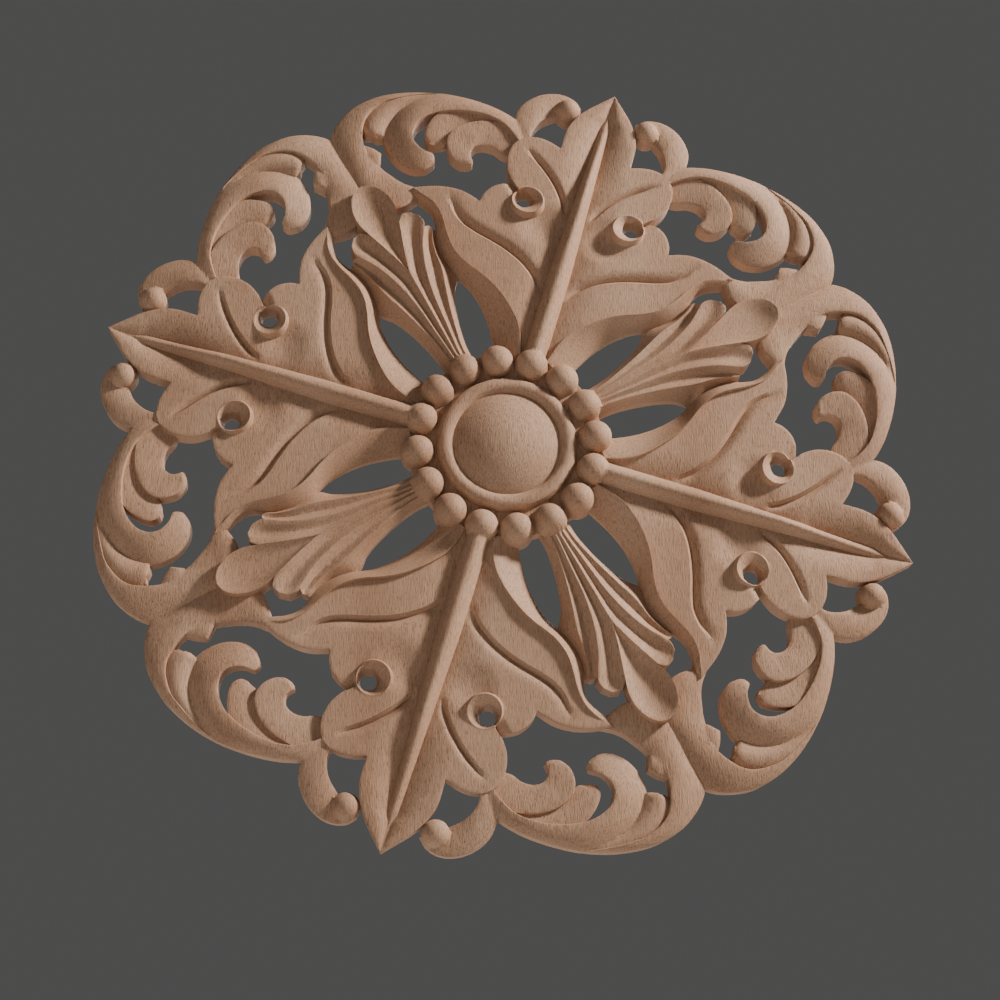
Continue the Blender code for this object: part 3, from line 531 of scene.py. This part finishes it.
FLANK_DEPTHS = [0.4] * 10
SPOON_DEPTHS = [0.0, 0.4, 0.6, 0.8, 0.8, 0.8, 0.5, 0.2, 0.0]

shell = {
    "spoon": Flow(between(SPOON_FLOOR, SPOON_RIM, SPOON_DEPTHS)),
    "first_flute": Flow(between(SECOND_TOP, SECOND_RIM, FLUTE_DEPTHS), soft=True),
    "second_flute": Flow(between(THIRD_TOP, THIRD_RIM, FLUTE_DEPTHS), soft=True),
    "flank": Flow(between(THIRD_RIM, SHELL_EDGE, FLANK_DEPTHS)),
}
print("shell strips:", list(shell))

# %% [markdown]
# The scroll grows from the diagonal. Its outer band rolls along the rim, a big curl rolls back
# inside it, a short lobe and a small curl follow, and a hook with a ball on its end leads to the
# leaf's tip.

# %% Scroll strips, hook and ball
STEM_AND_OUTER_BAND = [
    ((112.5, 79.5), (118.5, 79.5), (7.6, 8.4, 7.8)),
    ((107.0, 83.5), (118.0, 85.0), (8.4, 9.2, 8.4)),
    ((103.5, 88.0), (118.6, 90.0), (8.6, 9.5, 8.4)),
    ((100.0, 98.0), (120.5, 95.5), (8.8, 9.5, 8.4)),
    ((106.0, 106.0), (122.8, 101.0), (8.5, 9.6, 8.2)),
    ((113.0, 113.0), (125.8, 106.0), (8.2, 9.8, 8.8)),
    ((120.0, 120.0), (130.0, 112.0), (7.6, 9.8, 9.5)),
    ((127.0, 127.0), (134.5, 114.8), (6.9, 9.6, 10.0)),
    ((130.9, 130.9), (139.0, 116.5), (6.4, 9.4, 10.2)),
    ((137.5, 131.0), (145.5, 117.7), (7.2, 9.5, 10.2)),
    ((145.0, 128.9), (152.5, 116.0), (7.8, 9.5, 10.0)),
    ((152.0, 125.3), (160.0, 110.8), (8.0, 9.4, 9.8)),
    ((158.0, 120.0), (164.0, 105.3), (8.0, 9.2, 9.5)),
    ((163.2, 113.8), (167.4, 99.8), (7.9, 8.9, 9.2)),
    ((168.0, 105.0), (170.4, 94.0), (7.7, 8.5, 8.8)),
    ((171.6, 95.5), (172.3, 89.5), (7.4, 8.1, 8.4)),
    ((174.0, 85.5), (173.4, 85.5), (7.2, 7.8, 8.0)),
]
STEM_BARB = [
    ((122.0, 111.0), (132.5, 113.5), (8.6, 9.2, 8.8)),
    ((123.0, 106.5), (132.2, 109.0), (8.7, 9.5, 8.8)),
    ((124.0, 103.6), (131.3, 105.0), (8.4, 9.2, 8.4)),
    ((124.8, 102.9), (130.8, 104.0), (8.0, 8.5, 8.0)),
]
INNER_STRIP = [
    ((173.6, 86.0), (172.6, 85.0), (7.2, 7.6, 7.2)),
    ((171.8, 93.0), (168.8, 91.8), (7.4, 8.4, 7.4)),
    ((167.8, 102.5), (163.8, 97.6), (7.4, 9.2, 7.4)),
    ((161.2, 111.4), (157.2, 102.9), (7.4, 9.6, 7.4)),
    ((153.2, 117.0), (150.0, 105.5), (7.4, 9.8, 7.4)),
    ((146.0, 118.6), (144.5, 106.0), (7.4, 9.8, 7.4)),
    ((141.3, 117.6), (141.2, 105.8), (7.0, 9.6, 7.2)),
    ((139.4, 114.8), (139.5, 108.6), (6.8, 8.8, 6.8)),
]
BIG_CURL = [
    ((161.4, 36.6), (155.0, 35.0), (8.8, 9.0, 9.0)),
    ((169.9, 43.4), (161.8, 43.0), (8.6, 9.7, 10.2)),
    ((173.4, 53.0), (166.3, 51.0), (8.6, 10.3, 10.8)),
    ((174.8, 63.0), (167.6, 60.0), (8.6, 10.7, 11.2)),
    ((175.0, 74.0), (166.6, 69.5), (8.4, 10.8, 11.4)),
    ((173.8, 86.0), (163.4, 79.6), (7.8, 10.8, 11.5)),
    ((170.2, 94.6), (158.8, 86.6), (6.8, 10.8, 11.6)),
    ((164.6, 100.6), (153.2, 91.0), (6.2, 10.8, 11.6)),
    ((157.8, 104.8), (148.6, 92.3), (6.2, 10.6, 11.6)),
    ((149.5, 107.0), (144.6, 91.8), (6.3, 10.4, 11.5)),
    ((141.0, 106.4), (141.6, 89.8), (6.4, 10.0, 11.2)),
    ((134.2, 101.6), (139.6, 86.6), (6.5, 9.6, 10.8)),
    ((129.8, 95.4), (138.7, 83.6), (6.5, 9.2, 10.2)),
    ((128.0, 88.0), (138.8, 81.2), (6.5, 8.8, 9.4)),
    ((129.6, 81.8), (138.9, 79.4), (6.5, 8.3, 8.6)),
    ((132.4, 78.9), (138.2, 78.3), (6.4, 7.6, 7.8)),
    ((134.6, 77.5), (136.4, 77.4), (6.4, 7.0, 7.0)),
]
SHORT_LOBE = [
    ((166.5, 48.0), (162.0, 46.0), (8.4, 7.8, 7.0)),
    ((169.0, 60.0), (162.6, 57.0), (9.2, 8.6, 7.2)),
    ((168.4, 70.0), (160.4, 63.5), (9.8, 9.0, 7.4)),
    ((165.0, 78.8), (156.4, 69.0), (10.2, 9.3, 7.4)),
    ((160.0, 84.0), (152.0, 72.6), (10.2, 9.4, 7.4)),
    ((153.5, 86.2), (148.6, 74.4), (9.9, 9.2, 7.2)),
    ((148.0, 86.4), (146.4, 75.8), (9.3, 8.8, 7.0)),
    ((145.2, 84.6), (145.2, 78.4), (8.6, 8.2, 7.0)),
    ((144.0, 82.8), (144.2, 80.0), (8.0, 7.8, 7.0)),
]
SMALL_CURL = [
    ((164.0, 36.0), (150.5, 38.0), (8.0, 7.4, 6.4)),
    ((166.0, 45.0), (150.3, 45.6), (8.8, 8.2, 7.0)),
    ((166.3, 52.0), (152.2, 51.0), (9.4, 8.8, 7.6)),
    ((164.4, 60.5), (152.2, 56.0), (9.8, 9.2, 8.0)),
    ((160.6, 67.4), (150.4, 59.6), (10.0, 9.6, 8.4)),
    ((155.6, 72.2), (148.0, 61.2), (10.3, 9.5, 8.6)),
    ((149.8, 74.6), (145.9, 61.5), (10.2, 9.5, 8.6)),
    ((144.4, 73.4), (144.2, 61.0), (9.8, 9.3, 8.6)),
    ((140.2, 70.0), (142.9, 60.1), (9.0, 8.9, 8.4)),
    ((138.2, 65.4), (142.0, 59.3), (8.2, 8.8, 8.0)),
    ((138.5, 62.4), (141.6, 58.9), (7.6, 8.0, 7.6)),
    ((139.3, 60.4), (140.4, 59.2), (7.4, 7.6, 7.4)),
]
HOOK = [
    ((162.0, 40.0), (158.0, 32.0), (8.8, 9.2, 9.2)),
    ((171.0, 45.0), (164.2, 35.0), (8.4, 9.4, 9.4)),
    ((178.6, 44.9), (168.4, 34.8), (7.6, 9.2, 9.2)),
    ((184.8, 41.6), (172.8, 33.2), (7.2, 9.0, 8.8)),
    ((189.8, 36.4), (176.4, 30.6), (7.0, 8.4, 7.8)),
    ((192.9, 30.0), (179.2, 27.4), (6.6, 7.6, 6.6)),
    ((193.6, 24.0), (182.0, 24.0), (6.2, 7.0, 5.8)),
    ((191.9, 18.4), (184.0, 20.0), (6.2, 6.8, 5.8)),
    ((188.4, 14.6), (185.0, 15.4), (6.0, 6.4, 6.0)),
]
BALL_CENTRE = (185.0, 20.8)
BALL_RADIUS = 6.4
BALL_LEVEL = 5.8

scroll = {
    "stem": Flow(STEM_AND_OUTER_BAND),
    "barb": Flow(STEM_BARB),
    "strip": Flow(INNER_STRIP),
    "big_curl": Flow(BIG_CURL),
    "short_lobe": Flow(SHORT_LOBE),
    "small_curl": Flow(SMALL_CURL),
    "hook": Flow(HOOK),
}
FLOWS = {**shell, **scroll, "leaf_foot": leaf_foot}
print("strips in all:", len(FLOWS))

# %% [markdown]
# The relief is the highest of all these surfaces over each point, just as the carver leaves the top
# one standing where two cross. The outlines of all the elements together are the pierced shape.

# %% The relief as one height
INWARD_STEPS = (0.3, 0.7, 1.5)


def surfaces():
    """Each carved element by name: its height over given points."""
    found = {name: flow.height for name, flow in FLOWS.items()}
    found["leaf"] = leaf_height
    found["boss"] = boss_height
    found["ball"] = lambda points: half_round(points, BALL_CENTRE, BALL_RADIUS, BALL_LEVEL)
    for i, centre in enumerate(bead_centres()):
        found[f"bead_{i}"] = lambda points, c=centre: half_round(points, c, BEAD_RADIUS, BEAD_LEVEL)
    return found


SURFACES = surfaces()


def relief_height(points):
    """The highest carved surface over each point. A point just off its element's edge looks inward."""
    height = np.maximum.reduce([surface(points) for surface in SURFACES.values()])
    for reach in INWARD_STEPS:
        for turn in np.arange(8) * math.pi / 4:
            bare = np.flatnonzero(height < 0)
            if len(bare) == 0:
                return height
            beyond = points[bare] + reach * np.array([math.cos(turn), math.sin(turn)])
            found = np.maximum.reduce([surface(beyond) for surface in SURFACES.values()])
            height[bare] = np.maximum(height[bare], found)
    return height


def outlines():
    """The closed outline of each element, as the pieces between its corners."""
    found = {name: flow.pieces() for name, flow in FLOWS.items()}
    found["leaf"] = LEAF_PIECES
    found["boss"] = [circle((0, 0), DISC_RADIUS)]
    found["ball"] = [circle(BALL_CENTRE, BALL_RADIUS)]
    for i, centre in enumerate(bead_centres()):
        found[f"bead_{i}"] = [circle(centre, BEAD_RADIUS)]
    return found


OUTLINES = outlines()
print("elements:", len(SURFACES), "highest point:", relief_height(np.zeros((1, 2))).round(1), "mm")

# %% [markdown]
# The carver's edges aren't knife sharp: a pass of sandpaper takes their last half millimetre. A
# Bevel modifier would do that on a simple block, but on so fine a mesh it would fold over itself.
# So the relief itself drops a little beside each edge that stands over a gap or over a lower
# surface.

# %% Softened edges
HIDDEN_UNDER = 0.3
SHOULDER_WIDTH = 0.4
SHOULDER_DROP = 0.15
LOOK_BESIDE = 0.5
STANDS_OVER = 1.0


def folded(points):
    """The same places in the drawn eighth, which the whole pattern repeats."""
    x, y = np.abs(points[:, 0]), np.abs(points[:, 1])
    return np.column_stack([np.maximum(x, y), np.minimum(x, y)])


def runs(line, wanted):
    """The stretches of a line where wanted is true."""
    found, start = [], None
    for i, want in enumerate(np.r_[wanted, False]):
        if want and start is None:
            start = i
        if not want and start is not None:
            found.append(line[start:i])
            start = None
    return [part for part in found if len(part) > 1]


def showing(name, line):
    """The parts of a line that no higher element covers."""
    shows = relief_height(line) <= SURFACES[name](line) + HIDDEN_UNDER
    return runs(line, shows | np.r_[shows[1:], False] | np.r_[False, shows[:-1]])


def standing_edges():
    """The visible edges with a drop of a millimetre or more on one side."""
    found = []
    for name, pieces in OUTLINES.items():
        for piece in pieces:
            for part in showing(name, without_repeats(piece)):
                if len(part) < 4 or piece is MIDRIB_LINE:
                    continue
                sides = [folded(beside(part, side * LOOK_BESIDE)) for side in (-1, 1)]
                low = np.min([np.max([surface(spots) for surface in SURFACES.values()], axis=0)
                              for spots in sides], axis=0)
                found += runs(part, low < SURFACES[name](part) - STANDS_OVER)
    return found


EDGES = standing_edges()


def sanded_height(points):
    """The relief with its standing edges softened."""
    distance = np.min([nearest(edge, points)[0] for edge in EDGES], axis=0)
    drop = SHOULDER_DROP * np.clip(1 - distance / SHOULDER_WIDTH, 0, 1) ** 2
    return relief_height(points) - drop


print("edges to soften:", len(EDGES))

# %% [markdown]
# The face needs points where the light will show them: along every edge, along the foot of every
# wall, along the cuts and crests, and a little over a millimetre apart in between. A Delaunay
# triangulation joins them and keeps the lines. Grid modelling or sculpting would leave the edges
# ragged, which is why this face isn't started from a primitive.

# %% Lines that the face must keep
FIELD_STEP = 1.3
WALL_FOOT = 0.3
EYE_LINES = (-0.5, 0, 0.8, EYE_FOOT)
FLUTE_LINES = (0.25, 0.5, 0.75)
NEAR = 0.02


def close_lines():
    """Each visible edge, with the foot of its wall outside and its shoulder inside."""
    found = []
    for name, pieces in OUTLINES.items():
        for piece in pieces:
            if name == "leaf" and piece is MIDRIB_LINE:
                continue
            for part in showing(name, piece):
                found.append(part)
                if len(part) > 3:
                    found += [beside(part, side * WALL_FOOT) for side in (-1, 1)]
    return found


def valley():
    """Where the shell's flank and the foot of the leaf slope down to each other and meet."""
    found = []
    rim, arris = FLOWS["flank"].left, FLOWS["leaf_foot"].left
    for start in rim:
        end = arris[np.linalg.norm(arris - start, axis=1).argmin()]
        path = start + np.linspace(0, 1, 60)[:, None] * (end - start)
        flank, foot = SURFACES["flank"](path), SURFACES["leaf_foot"](path)
        cross = np.flatnonzero((flank > 0) & (foot > 0) & (flank < foot))
        if len(cross) and cross[0] > 0 and flank[cross[0] - 1] > 0:
            found.append(path[cross[0]])
    return np.array(found)


def crest_lines():
    """Circles, cuts and the run of the flutes inside the elements."""
    inner, outer = RING_MIDDLE - RING_HALF_WIDTH, RING_MIDDLE + RING_HALF_WIDTH
    radii = (DOME_RADIUS, inner, RING_MIDDLE, outer, outer + RING_WALL)
    found = [circle((0, 0), radius) for radius in radii]
    found += [circle(EYE_CENTRE, EYE_CREST + step) for step in EYE_LINES]
    for cut, _, _ in CUTS:
        found += [cut, beside(cut, -CUT_WALL)]
    slit = np.linspace(SLIT[0], SLIT[-1], 8)
    found += [slit, beside(slit, -SLIT_WALL)]
    found.append(rib_foot())
    for name in ("first_flute", "second_flute"):
        left, right = FLOWS[name].left, FLOWS[name].right
        found += [left + share * (right - left) for share in FLUTE_LINES]
    return found


LINES = close_lines() + crest_lines() + [valley()]
print("kept lines:", len(LINES), "with", sum(len(line) for line in LINES), "points")

# %% Triangles of one eighth of the face
DIAGONAL_REACH = 145.0
FIELD_REACH = 140
ROW_STEP = 0.866
CLEAR_OF_LINES = 0.55
DIAGONAL_SPACING = 0.8
OFF_SEAM = 1e-3


def eighth():
    """Points, heights and triangles of one eighth of the carved face."""
    spots, edges = [], []

    def add(line):
        start = len(spots)
        spots.extend(line.tolist())
        edges.extend((start + i, start + i + 1) for i in range(len(line) - 1))

    for line in LINES:
        add(line)
    hole = circle(EYE_HOLE_CENTRE, EYE_HOLE)
    add(hole)
    steps = np.arange(0.0, LEAF_REACH + 5, FIELD_STEP)
    add(np.stack([steps, np.zeros(len(steps))], axis=1))
    steps = np.arange(0.0, DIAGONAL_REACH, FIELD_STEP * DIAGONAL_SPACING)
    add(np.stack([steps, steps], axis=1))
    solid = [without_repeats(np.vstack(pieces)) for pieces in OUTLINES.values()]
    tree = KDTree(len(spots))
    for i, (x, y) in enumerate(spots):
        tree.insert((x, y, 0.0), i)
    tree.balance()
    field = []
    for row, y in enumerate(np.arange(0.5 * FIELD_STEP, FIELD_REACH, FIELD_STEP * ROW_STEP)):
        for x in np.arange(y + (row % 2) * FIELD_STEP / 2, LEAF_REACH, FIELD_STEP):
            field.append((x, y))
    field = np.array(field)
    field = field[np.logical_or.reduce([inside(outline, field) for outline in solid])]
    clear = [tree.find((x, y, 0.0))[2] > CLEAR_OF_LINES * FIELD_STEP for x, y in field]
    spots.extend(field[clear].tolist())
    made = delaunay_2d_cdt([tuple(s) for s in spots], edges, [], 0, NEAR)
    flat = np.array([tuple(v) for v in made[0]])
    triangles = np.array(made[2])
    flat[np.abs(flat[:, 1]) < OFF_SEAM, 1] = 0
    on_diagonal = np.abs(flat[:, 0] - flat[:, 1]) < OFF_SEAM
    flat[on_diagonal, 1] = flat[on_diagonal, 0]
    middle = flat[triangles].mean(axis=1)
    kept = np.logical_or.reduce([inside(outline, middle) for outline in solid])
    kept &= (middle[:, 1] > 0) & (middle[:, 1] < middle[:, 0]) & ~inside(hole, middle)
    used, triangles = np.unique(triangles[kept], return_inverse=True)
    flat = flat[used]
    return flat, sanded_height(flat), triangles.reshape(-1, 3)


flat, height, triangles = eighth()
print("eighth:", len(flat), "points,", len(triangles), "triangles")

# %% [markdown]
# The back is sawn flat. It only needs the points of its own border, so it is triangulated on its
# own. The face and the back become one mesh, and the operator bridge from edit mode isn't needed:
# where an edge of the face is open, a straight wall joins it to the point below it.

# %% Flat back and walls
def covered(corners, points):
    """Which points lie under one of the front's triangles."""
    found = np.zeros(len(points), bool)
    a, b, c = corners[:, 0], corners[:, 1], corners[:, 2]
    for i, p in enumerate(points):
        turns = [(e[:, 0] - s[:, 0]) * (p[1] - s[:, 1]) - (e[:, 1] - s[:, 1]) * (p[0] - s[:, 0])
                 for s, e in ((a, b), (b, c), (c, a))]
        found[i] = np.any(np.all(np.array(turns) >= 0, axis=0) | np.all(np.array(turns) <= 0, axis=0))
    return found


def flat_back(flat, triangles):
    """Triangles of the flat back, from the eighth's border points alone."""
    ends = np.sort(np.vstack([triangles[:, [0, 1]], triangles[:, [1, 2]], triangles[:, [2, 0]]]), axis=1)
    pairs, count = np.unique(ends, axis=0, return_counts=True)
    border, local = np.unique(pairs[count == 1], return_inverse=True)
    made = delaunay_2d_cdt([tuple(p) for p in flat[border]], local.reshape(-1, 2).tolist(), [], 0, 1e-6)
    spots = np.array([tuple(v) for v in made[0]])
    back = np.array(made[2])
    original = np.array([min(ids) for ids in made[3]])
    kept = covered(flat[triangles], spots[back].mean(axis=1))
    return border[original[back[kept]]]


back_triangles = flat_back(flat, triangles)
print("back of the eighth:", len(back_triangles), "triangles")

# %% [markdown]
# One eighth is mirrored across its midrib. The pair is copied with a quarter turn, and then all of
# it once more with a half turn. Mirroring and turning are left to Blender's own operators:
# duplicate, resize by -1 and rotate about the middle, then join. The seams are merged, and the
# normals are recalculated because mirroring turns faces inside out.

# %% One eighth as a mesh
def eighth_piece():
    """The eighth's face and back, standing in the XZ plane with the face toward -Y."""
    mesh = bmesh.new()
    front = [mesh.verts.new((x / 1000, -z / 1000, y / 1000)) for (x, y), z in zip(flat, height)]
    back = {i: mesh.verts.new((flat[i][0] / 1000, 0.0, flat[i][1] / 1000))
            for i in set(back_triangles.ravel().tolist())}
    for a, b, c in triangles:
        mesh.faces.new((front[a], front[b], front[c]))
    for a, b, c in back_triangles:
        mesh.faces.new((back[c], back[b], back[a]))
    below = {front[i]: vertex for i, vertex in back.items()}
    for edge in [e for e in mesh.edges if len(e.link_faces) == 1 and e.verts[0] in below]:
        a, b = edge.verts
        on_seam = (abs(a.co.z) + abs(b.co.z) < 1e-7) or (abs(a.co.x - a.co.z) + abs(b.co.x - b.co.z) < 1e-7)
        if not on_seam and a in below and b in below:
            mesh.faces.new((a, b, below[b], below[a]))
    data = bpy.data.meshes.new("rosette_carving")
    mesh.to_mesh(data)
    mesh.free()
    piece = bpy.data.objects.new("rosette_carving", data)
    bpy.context.scene.collection.objects.link(piece)
    return piece


def only(piece):
    """Makes a piece the one that operators act on."""
    bpy.ops.object.select_all(action="DESELECT")
    piece.select_set(True)
    bpy.context.view_layer.objects.active = piece


rosette = eighth_piece()
print("one eighth:", len(rosette.data.polygons), "faces")

# %% Mirror, turn and join
SEAM = 4e-6
SMOOTH_BELOW = math.radians(28)


def add_copies(piece, change):
    """Duplicates the whole mesh in edit mode and changes the copy."""
    only(piece)
    bpy.ops.object.mode_set(mode="EDIT")
    bpy.ops.mesh.select_all(action="SELECT")
    bpy.ops.mesh.duplicate()
    change()
    bpy.ops.mesh.select_all(action="SELECT")
    bpy.ops.mesh.remove_doubles(threshold=SEAM)
    bpy.ops.object.mode_set(mode="OBJECT")


def mirrored():
    """Flips what is selected across the midrib."""
    bpy.ops.transform.resize(value=(1, 1, -1), center_override=(0, 0, 0))


def turned(angle):
    """A change that turns what is selected about the middle of the rosette."""
    return lambda: bpy.ops.transform.rotate(value=angle, orient_axis="Y", center_override=(0, 0, 0))


add_copies(rosette, mirrored)
add_copies(rosette, turned(math.pi / 2))
add_copies(rosette, turned(math.pi))
bpy.ops.object.mode_set(mode="EDIT")
bpy.ops.mesh.select_all(action="SELECT")
bpy.ops.mesh.normals_make_consistent(inside=False)
bpy.ops.object.mode_set(mode="OBJECT")
bpy.ops.object.shade_smooth_by_angle(angle=SMOOTH_BELOW)
edge_keys = np.array([key for face in rosette.data.polygons for key in face.edge_keys])
faces_at_edge = np.unique(edge_keys, axis=0, return_counts=True)[1]
print("rosette:", len(rosette.data.polygons), "faces,", sum(faces_at_edge != 2), "edges not shared by two")

# %% [markdown]
# The wood is raw and finely sanded. Its fibres run along one direction of the board, so every
# texture is stretched along that direction: broad bands of growth, fine fibres, and the short dark
# pores of a light hardwood. All of it reads Object coordinates, so it runs through the carving as
# real grain does. Bump from the pores and the fibres gives the surface its dry look.

# %% Raw wood
GRAIN_LEAN = math.radians(16)
GROWTH_SCALE = (26.0, 14.0, 3.0)
FIBRE_SCALE = (1700.0, 1700.0, 160.0)
PORE_SCALE = (3000.0, 3000.0, 420.0)


def wood_material():
    """Raw wood: growth bands, fibres and pores, all stretched along the grain."""
    material = bpy.data.materials.new("raw pale hardwood")
    material.use_nodes = True
    tree = material.node_tree
    nodes, links = tree.nodes, tree.links
    shader = nodes["Principled BSDF"]
    coordinates = nodes.new("ShaderNodeTexCoord")
    board = nodes.new("ShaderNodeMapping")
    board.name = "board"
    board.inputs["Rotation"].default_value = (0.0, GRAIN_LEAN, 0.0)
    links.new(coordinates.outputs["Object"], board.inputs["Vector"])

    def stretched(name, scale):
        mapping = nodes.new("ShaderNodeMapping")
        mapping.name = name
        mapping.inputs["Scale"].default_value = scale
        links.new(board.outputs["Vector"], mapping.inputs["Vector"])
        return mapping.outputs["Vector"]

    def noise(name, vector, scale, detail, roughness=0.5):
        texture = nodes.new("ShaderNodeTexNoise")
        texture.name = name
        texture.inputs["Scale"].default_value = scale
        texture.inputs["Detail"].default_value = detail
        texture.inputs["Roughness"].default_value = roughness
        links.new(vector, texture.inputs["Vector"])
        return texture.outputs["Fac"]

    def ramp(name, value, stops):
        node = nodes.new("ShaderNodeValToRGB")
        node.name = name
        node.color_ramp.elements[0].position, node.color_ramp.elements[0].color = stops[0]
        node.color_ramp.elements[1].position, node.color_ramp.elements[1].color = stops[-1]
        for place, colour in stops[1:-1]:
            node.color_ramp.elements.new(place).color = colour
        links.new(value, node.inputs["Fac"])
        return node.outputs["Color"]

    def times(name, a, b, share):
        node = nodes.new("ShaderNodeMix")
        node.name = name
        node.data_type = "RGBA"
        node.blend_type = "MULTIPLY"
        node.inputs["Factor"].default_value = share
        links.new(a, node.inputs["A"])
        links.new(b, node.inputs["B"])
        return node.outputs["Result"]

    growth = noise("growth bands", stretched("along growth", GROWTH_SCALE), 1.0, 2.0)
    base = ramp("wood tones", growth, [
        (0.30, (0.400, 0.225, 0.135, 1.0)),
        (0.50, (0.470, 0.280, 0.175, 1.0)),
        (0.72, (0.530, 0.335, 0.220, 1.0)),
    ])
    fibre = noise("fibres", stretched("along fibres", FIBRE_SCALE), 1.0, 3.0, 0.6)
    fibre_tone = ramp("fibre tones", fibre, [
        (0.32, (0.66, 0.60, 0.55, 1.0)), (0.58, (1.0, 1.0, 1.0, 1.0)),
    ])
    pores = noise("pores", stretched("along pores", PORE_SCALE), 1.0, 1.0, 0.4)
    pore_tone = ramp("pore tones", pores, [
        (0.30, (0.45, 0.36, 0.30, 1.0)), (0.38, (1.0, 1.0, 1.0, 1.0)),
    ])
    colour = times("fibres over tones", base, fibre_tone, 0.8)
    colour = times("pores over fibres", colour, pore_tone, 0.8)
    links.new(colour, shader.inputs["Base Color"])
    shader.inputs["Roughness"].default_value = 0.68
    shader.inputs["Specular IOR Level"].default_value = 0.3
    relief = nodes.new("ShaderNodeMath")
    relief.operation = "ADD"
    links.new(pores, relief.inputs[0])
    links.new(fibre, relief.inputs[1])
    bump = nodes.new("ShaderNodeBump")
    bump.inputs["Strength"].default_value = 0.45
    bump.inputs["Distance"].default_value = 0.0003
    links.new(relief.outputs["Value"], bump.inputs["Height"])
    links.new(bump.outputs["Normal"], shader.inputs["Normal"])
    return material


rosette.data.materials.clear()
rosette.data.materials.append(wood_material())
print("wood on", len(rosette.data.materials), "slot")

# %% [markdown]
# The carving takes the place of the solid with few facets. It rides on the only body, and takes
# its finish from the wood slot.

# %% The carving in the solid's place
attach(rosette, "root")
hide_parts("rosette")
